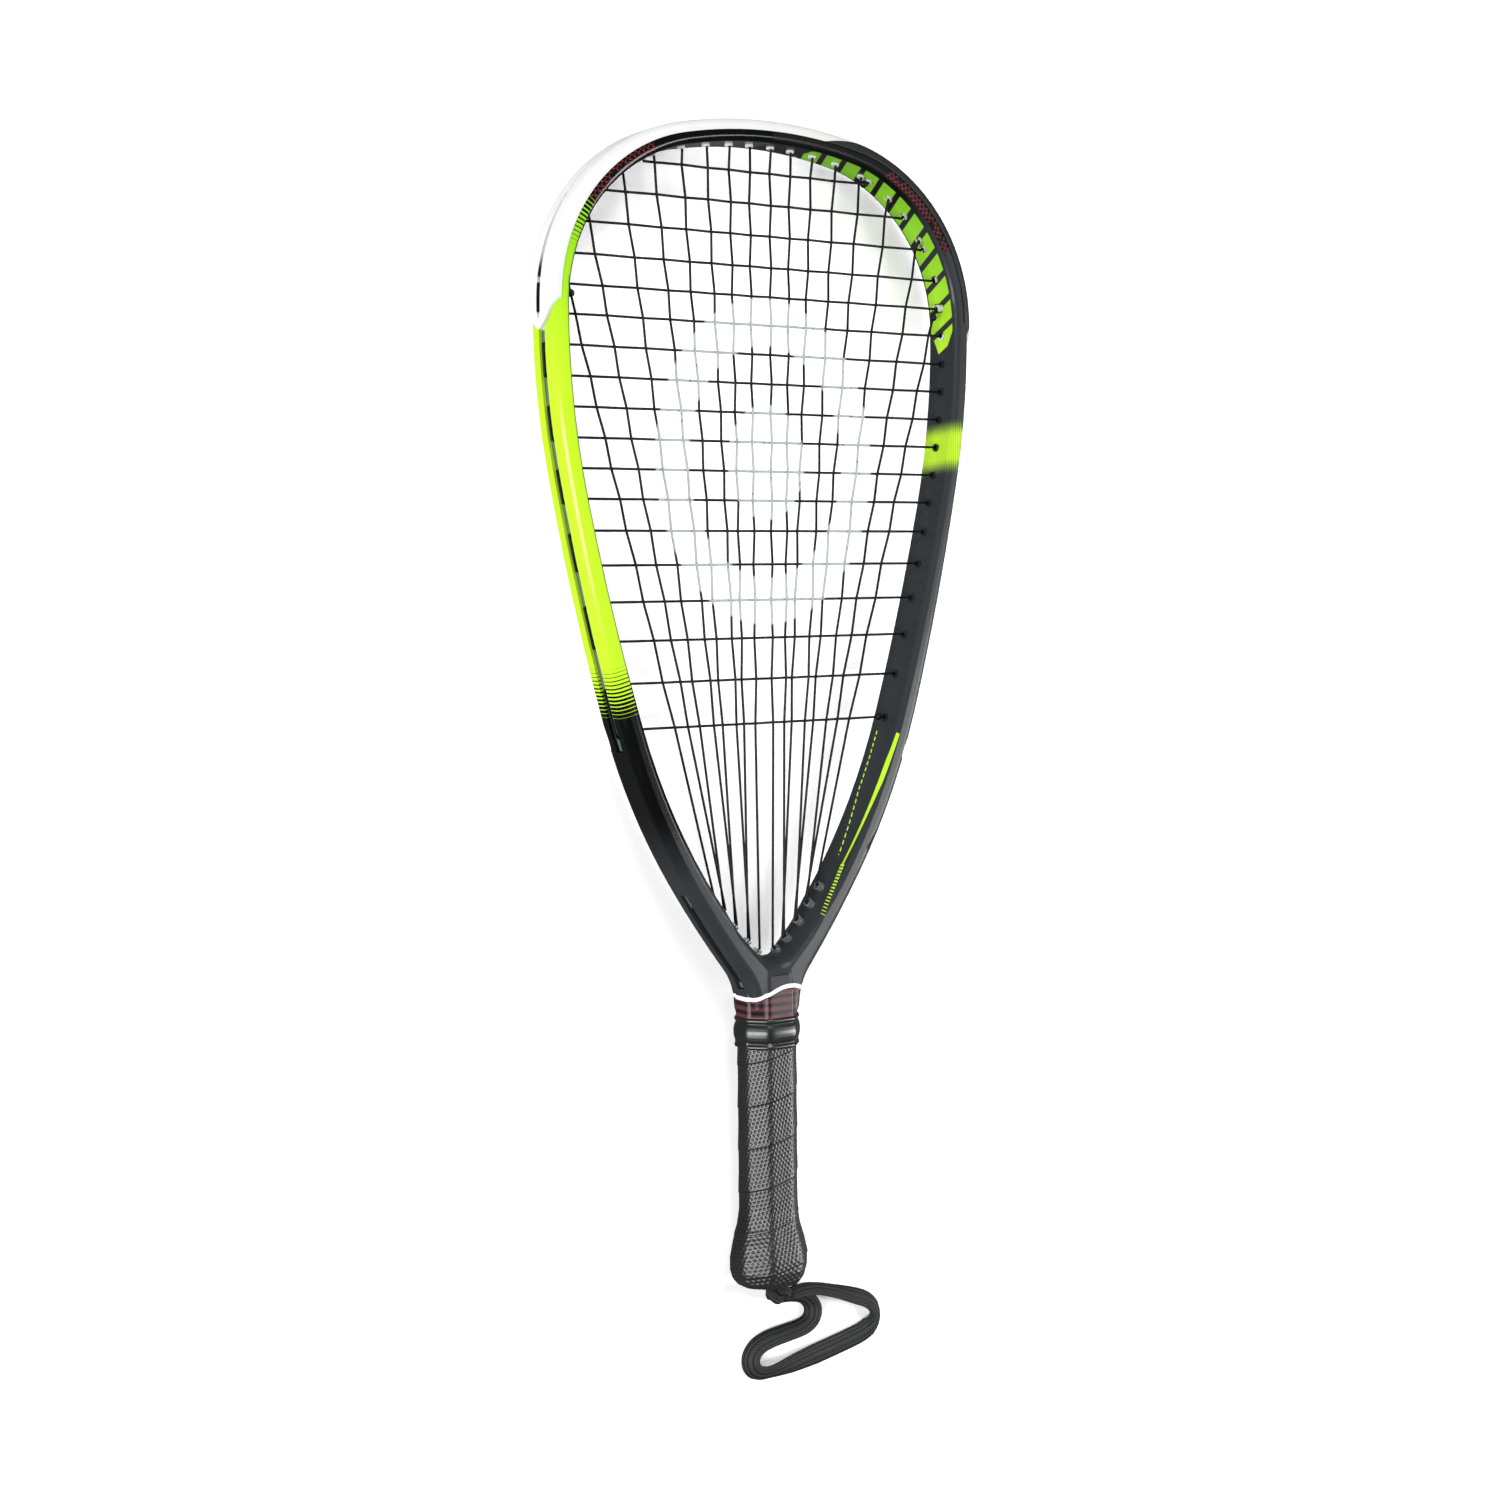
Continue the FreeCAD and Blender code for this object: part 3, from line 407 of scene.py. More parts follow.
def wall_blocks(s):
    """Slanted lime blocks on the inner wall of the right shoulder, tapered at the low end."""
    run = s.add(s.sub(s.around, s.mul(s.height, 0.55)), 16.0)
    bars = s.within(s.wrap(run, BLOCK_PITCH), 0.04, 0.77, 0.012)
    taper = s.add(2.0, s.mul(s.add(s.around, 18.0), 0.5))
    return s.both(s.right, s.within(s.around, *BLOCK_RUN, 0.2), s.within(s.height, -8.6, 8.4, 0.15),
                  s.near(s.height, taper, 0.15), s.above(s.inward, 0.2, 0.1), bars)


def lime_band(s):
    """Fine-lined lime band across the right beam, solid along its middle."""
    middle = s.sub(s.sub(s.station, BAND_STATION), s.mul(s.height, 0.1))
    band = s.inverse(s.ramp(s.absolute(middle), 5.0, 14.0))
    lines = s.above(s.wrap(s.add(s.mul(s.across, 0.7), s.height), 0.95), 0.38, 0.2)
    fine = s.mul(lines, s.above(s.wrap(s.station, 1.1), 0.12, 0.1))
    return s.mul(s.right, s.either(s.mul(band, fine), s.mul(band, s.mul(band, 0.75))))


def lower_stripe(s):
    """Thin bowed stripe on the lower right beam."""
    along, aside, length = beside_line(s, LINE_JOINT, LINE_HEAD)
    share = s.divide(along, length)
    bow = s.mul(s.mul(share, s.inverse(share)), 5.6)
    middle = s.add(7.4, s.mul(share, 4.0))
    return s.both(s.right, s.within(along, 0.0, length, 0.1), s.near(s.sub(aside, bow), 0.8, 0.08),
                  s.near(s.sub(s.height, middle), s.blend(share, 0.7, 1.2), 0.1))


def lower_dashes(s):
    """Dashes that carry the stripe on towards the handle, shorter and shorter."""
    along, aside, length = beside_line(s, LINE_FOOT, LINE_JOINT)
    share = s.divide(along, length)
    middle = s.sub(10.6, s.mul(share, 3.2))
    return s.both(s.right, s.within(along, 0.0, length, 0.1), s.near(aside, 1.5, 0.08),
                  s.below(s.wrap(along, 1.75), s.blend(share, 0.18, 0.72), 0.05),
                  s.near(s.sub(s.height, middle), s.blend(share, 0.9, 1.5), 0.1))


def edge_dashes(s):
    """Short marks low on the inner wall of the right beam."""
    middle = s.add(-4.2, s.mul(s.math("MAXIMUM", s.sub(238.8, s.station), 0.0), 0.17))
    dashes = s.below(s.wrap(s.add(s.station, s.mul(s.height, 0.5)), 3.0), 0.6, 0.03)
    return s.both(s.right, s.within(s.station, *EDGE_MARKS, 0.2), s.above(s.inward, 0.1, 0.05), dashes,
                  s.near(s.sub(s.height, middle), 0.45, 0.1))


def above_collar(s):
    """Wavy pinstripe, the dark ground below it, and the rows of marks on that ground."""
    swing = s.mul(s.math("SINE", s.mul(s.add(s.across, 6.6), 2 * math.pi / PIN_WAVE)), PIN_SWING)
    past = s.sub(s.station, s.add(swing, PIN_STATION))
    pin = s.within(past, -1.0, 0.9, 0.08)
    ground = s.both(s.below(past, -0.9, 0.1), s.below(s.station, 150.0))
    marks = scale_marks(s, s.add(s.across, s.height), s.station, 1.7, 1.25)
    return pin, ground, s.both(ground, marks, s.within(s.wrap(s.station, 3.9), 0.12, 0.66, 0.04))


def wall_weave(s):
    """Woven grain on the inner wall of the right beam."""
    weave = scale_marks(s, s.add(s.station, s.mul(s.height, 0.6)), s.height, 5.4, 3.4)
    return s.both(weave, s.inner_wall, s.right, s.within(s.station, 300.0, 456.0, 6.0))


def charcoal(s, weave, black):
    """Patchy charcoal, darker in the weave and black on the left beam and at the crown."""
    patches = s.add(0.5, s.mul(s.sub(s.noise(38.0, 2.0), 0.5), 0.5))
    ground = s.mix(patches, CHARCOAL_DARK, CHARCOAL_LIGHT)
    ground = s.mix(s.mul(weave, 0.4), ground, CHARCOAL_DARK)
    return s.mix(s.either(black, s.above(s.station, 522.0, 10.0)), ground, BLACK)


def lime_paint(s):
    """Lime that deepens towards the crown, paler in patches."""
    colour = s.mix(s.ramp(s.station, 430.0, 520.0), LIME, LIME_DEEP)
    return s.mix(s.mul(s.noise(14.0, 2.0), 0.25), colour, LIME_PALE)


def lacquer():
    """Satin charcoal frame with glossy lime, scale marks, a pinstripe and plain block graphics."""
    s = FrameShader("frame_lacquer_look")
    lime_left = lime_on_left(s)
    lime = s.either(lime_left, wall_blocks(s), lime_band(s), lower_stripe(s), lower_dashes(s), edge_dashes(s))
    zone, red = scaled_shoulders(s)
    pin, row_ground, rows = above_collar(s)
    weave = wall_weave(s)
    black_left = s.both(s.left, s.above(s.station, 215.0, 22.0))

    colour = s.mix(lime, charcoal(s, weave, black_left), lime_paint(s))
    colour = s.mix(s.both(zone, s.inverse(red)), colour, SCALE_GROUND)
    colour = s.mix(red, colour, SCALE_RED)
    colour = s.mix(row_ground, colour, ROW_GROUND)
    colour = s.mix(rows, colour, ROW_RED)
    colour = s.mix(pin, colour, PIN_WHITE)

    grain = s.noise(900.0, 4.0, 0.6)
    scuff = s.above(s.noise(55.0, 6.0, 0.75), 0.64, 0.05)
    gloss = s.blend(s.either(lime_left, black_left, pin), 0.40, 0.16)
    roughness = s.add(gloss, s.add(s.mul(s.sub(grain, 0.5), 0.10), s.mul(scuff, 0.10)))
    relief = s.add(s.mul(grain, 0.25), s.add(s.mul(weave, 0.9), s.mul(s.either(red, rows, pin), 0.8)))
    return s.finish(base_color=colour, roughness=roughness, specular_ior_level=0.14, coat_weight=0.07,
                    coat_roughness=0.12, normal=s.bump(relief, 0.00006, 0.5))


# ---------------------------------------------------------------- plastics, strings and rubber

def painted_slot_shade(s, station, height):
    """Painted shade in the two slots along the middle of each side, the upper one narrowing towards the
    crown.
    """
    half_width = s.add(s.mul(s.inverse(s.ramp(station, 480.0, 538.0, soft=False)), 1.5), 0.1)
    lengths = s.either(s.within(station, 464.6, 477.8, 0.2), s.within(station, 480.0, 537.0, 0.2))
    return s.both(s.above(half_width, s.absolute(height), 0.12), lengths)


def bumper_lap(s, across, station, height):
    """Faces of the lap on the right shoulder, inside a rim that narrows down the shoulder."""
    reach = s.hypot(s.sub(across, SHOULDER_CENTRE[0]), s.sub(station, SHOULDER_CENTRE[1]))
    down = s.ramp(across, 20.0, 62.0)
    depth = s.sub(s.add(SHOULDER_RADIUS, s.mul(down, 0.3)), reach)
    return s.both(s.above(s.absolute(height), 8.0, 0.2), s.above(across, 20.0, 0.1),
                  s.above(depth, s.blend(down, 3.6, 0.2), 0.1))


def bumper_look():
    """White nylon, rubbed at the crown, with painted shade in the slots and dark paint on the lap of the
    right shoulder.
    """
    s = Shader("bumper_look")
    across, station, height = s.racket_place()
    dirt = s.above(s.noise(60.0, 6.0, 0.7), 0.66, 0.08)
    colour = s.mix(s.mul(dirt, 0.25), (0.53, 0.53, 0.515), (0.42, 0.42, 0.41))
    crown = s.mul(s.above(across, 20.0, 40.0), s.above(station, 480.0, 20.0))
    colour = s.mix(s.mul(crown, 0.5), colour, (0.49, 0.47, 0.41))
    # Painted shade: near black on the walls and floor of the slots, where the nylon is really white.
    colour = s.mix(painted_slot_shade(s, station, height), colour, (0.006, 0.006, 0.007))
    colour = s.mix(bumper_lap(s, across, station, height), colour, (0.006, 0.0065, 0.007))
    grain = s.noise(1500.0, 3.0)
    return s.finish(base_color=colour, roughness=s.add(0.30, s.mul(grain, 0.18)), subsurface_weight=0.05,
                    normal=s.bump(grain, 0.00003, 0.35))


def strip_look():
    """Satin nylon: a grey-green plate on the outside, with a black rim and black barrels."""
    s = Shader("strip_look")
    across, _, height = s.racket_place()
    nx, _, _ = s.split(s.normal)
    plate = s.above(s.mul(nx, s.math("SIGN", across)), 0.5, 0.1)
    rim = s.either(s.above(s.absolute(height), 2.1, 0.3), s.inverse(plate))
    grain = s.noise(1200.0, 3.0)
    colour = s.mix(grain, (0.052, 0.082, 0.076), (0.095, 0.140, 0.130))
    colour = s.mix(rim, colour, (0.009, 0.011, 0.011))
    return s.finish(base_color=colour, roughness=s.add(0.28, s.mul(grain, 0.2)),
                    normal=s.bump(grain, 0.00003, 0.4))


def clear_look():
    """Clear nylon tubes with a slight haze."""
    s = Shader("clear_look")
    haze = s.noise(700.0, 4.0)
    return s.finish(base_color=s.mix(haze, (0.38, 0.43, 0.45), (0.66, 0.71, 0.73)), transmission_weight=0.85,
                    ior=1.46, roughness=s.add(0.05, s.mul(haze, 0.12)), normal=s.bump(haze, 0.00004, 0.4))


STENCIL_CENTRE = (2.0, 400.0)
STENCIL_SHAPE = 0.80                   # width of the printed ring over its height
STENCIL_RING = (44.0, 62.0)            # inner and outer reach across the head
STENCIL_DISC = 22.0


def string_look():
    """Black multifilament with a twisted grain, and a plain printed ring and disc in mid head."""
    s = Shader("string_look")
    across, station, height = s.racket_place()
    reach = s.hypot(s.sub(across, STENCIL_CENTRE[0]),
                    s.mul(s.sub(station, STENCIL_CENTRE[1]), STENCIL_SHAPE))
    printed = s.either(s.within(reach, *STENCIL_RING, 0.4), s.below(reach, STENCIL_DISC, 0.4))
    paint = s.both(printed, s.above(s.noise(420.0, 5.0, 0.7), 0.36, 0.04))
    twist = s.wrap(s.add(s.add(across, station), s.mul(height, 1.6)), 0.55)
    ridge = s.absolute(s.sub(twist, 0.5))
    sheen = s.noise(500.0, 3.0)
    colour = s.mix(s.mul(sheen, 0.6), (0.002, 0.002, 0.0025), (0.010, 0.010, 0.011))
    colour = s.mix(paint, colour, s.mix(sheen, (0.24, 0.275, 0.275), (0.33, 0.37, 0.37)))
    return s.finish(base_color=colour, roughness=s.add(0.32, s.mul(ridge, 0.5)), specular_ior_level=0.15,
                    normal=s.bump(ridge, 0.00006, 0.5))


def collar_look():
    """Glossy black rubber, dulled in patches."""
    s = Shader("collar_look")
    dull = s.noise(90.0, 4.0, 0.6)
    colour = s.mix(dull, (0.003, 0.0035, 0.004), (0.010, 0.011, 0.012))
    return s.finish(base_color=colour, roughness=s.add(0.20, s.mul(dull, 0.2)),
                    normal=s.bump(s.noise(420.0, 3.0), 0.00004, 0.3))


def plastic_look(name, dark, light, roughness):
    """Moulded plastic with a fine spark-eroded grain."""
    s = Shader(name)
    grain = s.noise(1100.0, 4.0)
    return s.finish(base_color=s.mix(grain, dark, light), roughness=s.add(roughness, s.mul(grain, 0.15)),
                    normal=s.bump(grain, 0.00005, 0.5))


def steel_look():
    """Drawn wire, brushed along its length."""
    s = Shader("steel_look")
    grain = s.noise(2500.0, 2.0)
    return s.finish(base_color=s.mix(grain, (0.38, 0.38, 0.37), (0.62, 0.62, 0.60)), metallic=1.0,
                    roughness=s.add(0.22, s.mul(grain, 0.2)))


# ---------------------------------------------------------------- wound grip

GRIP_TOP = 121.0
# Station, width and depth over the grip, as in the CAD sleeve.
GRIP_SECTIONS = [(0, 31.5, 26.5), (3, 36.5, 31), (8, 39.2, 33.7), (14, 39.5, 34), (22, 36.5, 31.5),
                 (30, 32, 28), (38, 30, 26), (GRIP_TOP, 30, 26)]
CHAMFER = 0.31                         # share of the half depth that the octagon's corners lose
GRIP_INSET = 0.45                      # how far the strip starts inside the CAD sleeve
GRIP_SHARPNESS = 22.0                  # power that rounds the octagon's edges a little
GRIP_AROUND = 300                      # points in each ring
GRIP_STEP = 0.37                       # between the rings
GIRTH = 90.0                           # width of surface that the hole pattern counts round the handle
WRAP_PITCH = 21.0
WRAP_START = 0.28                      # share of a turn at which the first overlap begins
WRAP_LIP = 0.34                        # how far the overlapping edge stands proud
WRAP_TILT = WRAP_PITCH / GIRTH         # rise of the strip for each millimetre round the handle
ROW_SHARE = 0.866                      # distance between rows of holes over the distance within a row
HOLE_PITCH = 2.25
HOLE_ROW = HOLE_PITCH * ROW_SHARE
HOLE_DEPTH = 0.26
BUTT_FOLD = [(1.0, 0.74), (0.5, 0.80), (0.1, 0.92)]    # station and share of the width of the folded end
COLLAR_FOLD = [0.97, 0.94]                             # share of the width under the collar


def grip_shape(angle, station):
    """Distance from the handle's axis to its soft octagon, in millimetres."""
    stations = [row[0] for row in GRIP_SECTIONS]
    half_wide = np.interp(station, stations, [row[1] / 2 for row in GRIP_SECTIONS]) - GRIP_INSET
    half_deep = np.interp(station, stations, [row[2] / 2 for row in GRIP_SECTIONS]) - GRIP_INSET
    cut = half_wide + half_deep - 2 * CHAMFER * half_deep
    x, z = np.abs(np.cos(angle)), np.abs(np.sin(angle))
    walls = [x / half_wide, z / half_deep, (x + z) / cut]
    return sum(wall ** GRIP_SHARPNESS for wall in walls) ** (-1 / GRIP_SHARPNESS)


def sleeve_rings(angle, station, radius):
    """Rings of points round the handle's axis, in millimetres from the butt end."""
    return np.stack([np.cos(angle) * radius, station, np.sin(angle) * radius], axis=-1)


def wrap_relief(angle, station):
    """Height of the wound strip: overlapping turns with round pressed holes, in millimetres."""
    turn = angle / (2 * math.pi)
    share = (station / WRAP_PITCH + turn + WRAP_START) % 1.0
    lip = WRAP_LIP * np.clip(1 - share / 0.55, 0, 1) * np.clip(share / 0.03, 0, 1)
    row = (station + turn * WRAP_PITCH) / HOLE_ROW
    column = (turn * GIRTH - station * WRAP_TILT) / HOLE_PITCH - 0.5 * (np.floor(row) % 2)
    reach = np.hypot(column % 1.0 - 0.5, (row % 1.0 - 0.5) * ROW_SHARE)
    hole = np.clip((0.33 - reach) / 0.14, 0, 1) * (share > 0.04)
    return lip - HOLE_DEPTH * hole


def ring_piece(name, rings, look):
    """Sleeve round the handle's axis, from rings of points in millimetres from the butt end."""
    vertices = rings.reshape(-1, 3) * MM + np.array([0, BUTT_Y, STRING_Z])
    faces = [face[::-1] for face in ring_faces(len(rings), rings.shape[1])]
    item = mesh_piece(name, vertices, faces)
    item.data.materials.append(look)
    return item


def make_grip():
    """Perforated grip strip wound up the handle, with a folded butt end."""
    turns = np.linspace(0, 2 * math.pi, GRIP_AROUND, endpoint=False)
    angle, station = np.meshgrid(turns, np.arange(0.6, GRIP_TOP, GRIP_STEP))
    wall = sleeve_rings(angle, station, grip_shape(angle, station) + wrap_relief(angle, station))
    butt = [wall[0] * (share, 0, share) + (0, place, 0) for place, share in BUTT_FOLD]
    top = [wall[-1] * (share, 1, share) for share in COLLAR_FOLD]
    rings = np.concatenate([butt, wall, top])
    item = ring_piece("grip", rings, grip_look())
    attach(item, "racket")
    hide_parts("grip_wrap")


COLLAR_LOW = 118.0
COLLAR_LENGTH = 15.5
COLLAR_AROUND = 160
COLLAR_RINGS = 90
# Share of the length, and how far the rubber stands over the grip there.
COLLAR_PROFILE = [(0, 0.3), (0.015, 1.0), (0.06, 1.5), (0.11, 1.5), (0.155, 1.05), (0.19, 0.85), (0.225, 1.1),
                  (0.30, 1.6), (0.40, 1.9), (0.5, 2.0), (0.60, 1.9), (0.70, 1.6), (0.775, 1.1), (0.81, 0.85),
                  (0.845, 1.05), (0.89, 1.5), (0.94, 1.5), (0.985, 1.0), (1, 0.3)]


def make_collar():
    """Moulded rubber collar: a thin bead at each edge and a swelling band between them."""
    turns = np.linspace(0, 2 * math.pi, COLLAR_AROUND, endpoint=False)
    shares = np.linspace(0, 1, COLLAR_RINGS)
    swell = np.interp(shares, *np.array(COLLAR_PROFILE).T)
    swell[1:-1] = (swell[:-2] + 2 * swell[1:-1] + swell[2:]) / 4
    angle, share = np.meshgrid(turns, shares)
    radius = grip_shape(angle, COLLAR_LOW) + swell[:, None]
    rings = sleeve_rings(angle, COLLAR_LOW + COLLAR_LENGTH * share, radius)
    item = ring_piece("collar", rings, collar_look())
    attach(item, "racket")
    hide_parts("rubber_collar")


def grip_look():
    """Tacky dark rubber: painted shade, near black, in the pressed holes, paler worn patches and darker
    seams.
    """
    s = Shader("grip_look")
    across, station, height = s.racket_place()
    turn = s.fraction(s.add(s.divide(s.math("ARCTAN2", height, across), 2 * math.pi), 1.0))
    u = s.mul(turn, GIRTH)
    row = s.divide(s.add(station, s.mul(u, WRAP_TILT)), HOLE_ROW)
    column = s.sub(s.divide(s.sub(u, s.mul(station, WRAP_TILT)), HOLE_PITCH), s.odd_shift(row))
    distance = s.hypot(s.sub(s.fraction(column), 0.5), s.mul(s.sub(s.fraction(row), 0.5), ROW_SHARE))
    hole = s.below(distance, 0.22, 0.05)
    share = s.fraction(s.add(s.add(s.divide(station, WRAP_PITCH), turn), WRAP_START))
    seam = s.either(s.below(share, 0.022, 0.012), s.above(share, 0.985, 0.01))
    worn = s.noise(45.0, 5.0, 0.65)
    colour = s.mix(worn, (0.003, 0.0032, 0.0034), (0.014, 0.0145, 0.0155))
    # Painted shade: the pressed holes are filled near black, darker than the rubber around them.
    colour = s.mix(hole, colour, (0.0006, 0.0006, 0.0006))
    colour = s.mix(s.mul(seam, 0.25), colour, (0.002, 0.002, 0.002))
    pebble = s.noise(1600.0, 4.0, 0.6)
    roughness = s.add(0.26, s.add(s.mul(worn, 0.14), s.mul(pebble, 0.12)))
    return s.finish(base_color=colour, roughness=roughness, specular_ior_level=0.6,
                    normal=s.bump(pebble, 0.00005, 0.35))


# ---------------------------------------------------------------- lanyard

FLOOR_LINE = -13.3                     # height of the line where the cord lies on the surface
# Route of the loop from the knot and back to it: across, station, height over the string plane.
LANYARD_ROUTE = [
    (10.2, -11.2, -4.4), (17, -13.0, -8.8), (24.4, -14.6, -12.2), (31.4, -16.8, FLOOR_LINE),
    (35.6, -21.8, FLOOR_LINE), (34.9, -28.2, FLOOR_LINE), (29.6, -31.8, FLOOR_LINE),
    (19.5, -33.0, FLOOR_LINE), (9.0, -34.2, FLOOR_LINE), (1.4, -36.4, FLOOR_LINE),
    (-2.8, -41.4, FLOOR_LINE), (-1.8, -47.7, FLOOR_LINE), (3.4, -51.3, FLOOR_LINE),
    (12, -51.2, FLOOR_LINE), (24.5, -49.9, FLOOR_LINE), (37, -48.0, FLOOR_LINE),
    (49, -45.9, FLOOR_LINE), (59.5, -43.9, FLOOR_LINE), (68, -42.0, FLOOR_LINE),
    (74.2, -38.0, FLOOR_LINE), (75.1, -30.9, FLOOR_LINE), (70.4, -25.6, FLOOR_LINE),
    (62.0, -22.0, FLOOR_LINE), (53.0, -18.6, FLOOR_LINE), (44.0, -15.2, -10.8), (35.2, -11.7, -6.6),
    (27, -9.1, -2.8), (19.8, -7.7, 0.2), (13.0, -7.3, 2.0)]
STRAP_WIDTH = 10.8
STRAP_THICKNESS = 4.0
STRAP_RIDGES = 13
STRAP_AROUND = 104
STRAP_STEP = 0.7                       # between the sections
STRAP_CLEARANCE = 0.4                  # between the strap and the surface
WEAVE_LENGTH = 1.6                     # of the braid's pattern along the cord
KNOT_BITE = 2.0                        # how far each end runs on into the knot, in millimetres
# Share of the way round, lean of the strap on its edge in degrees, and share of its full width.
STRAP_LIE = [(0, 40, 0.6), (0.03, 40, 0.75), (0.08, 42, 0.85), (0.17, 52, 0.85), (0.28, 38, 0.85),
             (0.40, 38, 0.85), (0.46, 15, 0.95), (0.52, 3, 1), (0.66, 3, 1), (0.70, 35, 0.85),
             (0.76, 36, 0.85), (0.82, 58, 0.85), (0.90, 66, 0.8), (0.97, 60, 0.7), (1, 55, 0.6)]


def smooth_line(points):
    """Points down the NURBS line that has these control points."""
    data = bpy.data.curves.new("route", "CURVE")
    data.dimensions = "3D"
    data.resolution_u = 24
    spline = data.splines.new("NURBS")
    spline.points.add(len(points) - 1)
    for point, place in zip(spline.points, points):
        point.co = (*place, 1.0)
    spline.order_u = 3
    spline.use_endpoint_u = True
    carrier = bpy.data.objects.new("route", data)
    mesh = bpy.data.meshes.new_from_object(carrier)
    line = np.array([v.co for v in mesh.vertices], float)
    bpy.data.meshes.remove(mesh)
    bpy.data.objects.remove(carrier)
    bpy.data.curves.remove(data)
    return line


def even_line(line, step):
    """The same line with evenly spaced points."""
    along = distance_along(line)
    places = np.linspace(0, along[-1], int(along[-1] / step) + 1)
    return np.stack([np.interp(places, along, line[:, k]) for k in range(3)], axis=1)


def into_knot(line):
    """The line with both ends drawn on a little, into the knot."""
    ways = unit_rows(np.array([line[0] - line[1], line[-1] - line[-2]]))
    start, end = line[[0, -1]] + ways * KNOT_BITE * MM
    return np.concatenate([[start], line, [end]])


def softened(values, reach):
    """Moving average of a row of numbers, with its ends held."""
    padded = np.pad(values, reach, mode="edge")
    return np.convolve(padded, np.ones(2 * reach + 1) / (2 * reach + 1), mode="valid")


def swollen(values):
    """A circle's sines or cosines, pushed out towards a square."""
    return np.sign(values) * np.abs(values) ** 0.80


def strap_section(width, thickness, around, ridges):
    """Soft oval section with lengthwise ridges."""
    angle = np.linspace(0, 2 * math.pi, around, endpoint=False)
    x, y = swollen(np.cos(angle)), swollen(np.sin(angle))
    ribs = np.cos(ridges * angle)
    return np.stack([x * width / 2 * (1 + 0.03 * ribs), y * thickness / 2 * (1 + 0.09 * ribs)], axis=1)


def cord_look():
    """Braided polyester: herringbone of strands on lengthwise ridges, dark grey with a soft sheen, with
    painted light on the raised strands and painted shade between them and in the valleys between ridges.
    """
    s = Shader("cord_look")
    u, v, _ = s.split(s.uv)
    fold = s.absolute(s.sub(s.wrap(s.mul(v, 2.0 * STRAP_RIDGES), 2.0), 0.5))
    strand = s.absolute(s.sub(s.fraction(s.add(u, s.mul(fold, 1.7))), 0.5))
    ridge = s.math("SINE", s.mul(v, 2 * math.pi * STRAP_RIDGES))
    fuzz = s.noise(2600.0, 3.0, 0.6)
    # Herringbone tone that follows the strands' relief: painted light where they stand up and painted shade
    # between them, plus random fuzz.
    strand_shading_and_fuzz = s.add(s.mul(strand, 1.3), s.mul(fuzz, 0.5))
    colour = s.mix(s.math("MULTIPLY", strand_shading_and_fuzz, 0.8, clamp=True), (0.002, 0.0022, 0.0024), (0.048, 0.051, 0.052))
    # Painted shade, near black, in the valleys between the lengthwise ridges.
    colour = s.mix(s.ramp(ridge, -1.0, -0.1), (0.0015, 0.0015, 0.002), colour)
    relief = s.add(s.mul(strand, 0.8), s.add(s.mul(ridge, 0.35), s.mul(fuzz, 0.2)))
    return s.finish(base_color=colour, roughness=s.add(0.52, s.mul(fuzz, 0.25)), specular_ior_level=0.2,
                    normal=s.bump(relief, 0.0003, 0.8))


def strap_frames(line, leans):
    """Side and top directions of the strap: level across the line, then leant over by so many degrees."""
    tangents = unit_rows(np.gradient(line, axis=0))
    flat_side = unit_rows(np.stack([tangents[:, 1], -tangents[:, 0], np.zeros(len(line))], axis=1))
    flat_top = np.cross(tangents, flat_side)
    flip = np.sign(flat_top[:, 2])[:, None]
    flat_side, flat_top = flat_side * flip, flat_top * flip
    lean = np.radians(leans)[:, None]
    side = flat_side * np.cos(lean) + flat_top * np.sin(lean)
    top = flat_top * np.cos(lean) - flat_side * np.sin(lean)
    return side, top


def settled(line, sections, frames):
    """The line raised or lowered where it lies, so that the strap rests just over the surface."""
    lowest = tube_points(line, sections, *frames)[:, 2].reshape(len(line), -1).min(axis=1)
    lying = np.clip(1 - (line[:, 2] - at(0, 0, FLOOR_LINE).z) / (3 * MM), 0, 1)
    lift = STRAP_CLEARANCE * MM - lowest
    raised = line.copy()
    raised[:, 2] += softened(np.where(lift > 0, lift, lift * lying), 12)
    return raised


def make_lanyard(look):
    """Loop of soft braided strap that lies on the surface and rises to its knot."""
    route = [at(*place) for place in LANYARD_ROUTE]
    line = even_line(into_knot(smooth_line(route)), STRAP_STEP * MM)
    shares, leans, widths = np.array(STRAP_LIE).T
    share = np.linspace(0, 1, len(line))
    frames = strap_frames(line, np.interp(share, shares, leans))
    section = strap_section(STRAP_WIDTH * MM, STRAP_THICKNESS * MM, STRAP_AROUND, STRAP_RIDGES)
    sections = section[None] * np.interp(share, shares, widths)[:, None, None]
    line = settled(line, sections, frames)
    item = sweep("lanyard_strap", line, sections, frames, WEAVE_LENGTH * MM)
    item.data.materials.append(look)
    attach(item, "loop")
    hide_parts("lanyard_loop")


# Node, body, reach of its line, and how far it sits towards the crown from the CAD knot's middle, in mm.
KNOTS = [("lanyard_knot", "knot", 5.0, 0.7), ("lanyard_inner_knot", "racket", 3.3, 0.0)]
KNOT_SHAPE = np.array([1.0, 0.9, 0.9])
KNOT_POINTS = 240
KNOT_AROUND = 52
KNOT_RIDGES = 9
KNOT_CORD = 0.6                        # radius of the cord over the reach of its line
KNOT_SQUASH = 0.8                      # thickness of the cord over its width
TREFOIL_SPREAD = 1.55                  # size of the second turn over the first
TREFOIL_DEPTH = 1.25


def knot_line(centre, size):
    """Closed trefoil line, drawn across the handle's axis."""
    t = np.linspace(0, 2 * math.pi, KNOT_POINTS, endpoint=False)
    x = np.sin(t) + TREFOIL_SPREAD * np.sin(2 * t)
    y = -TREFOIL_DEPTH * np.sin(3 * t)
    z = np.cos(t) - TREFOIL_SPREAD * np.cos(2 * t)
    return np.stack([x, y, z], axis=1) / 2.9 * size * KNOT_SHAPE + np.array(centre)


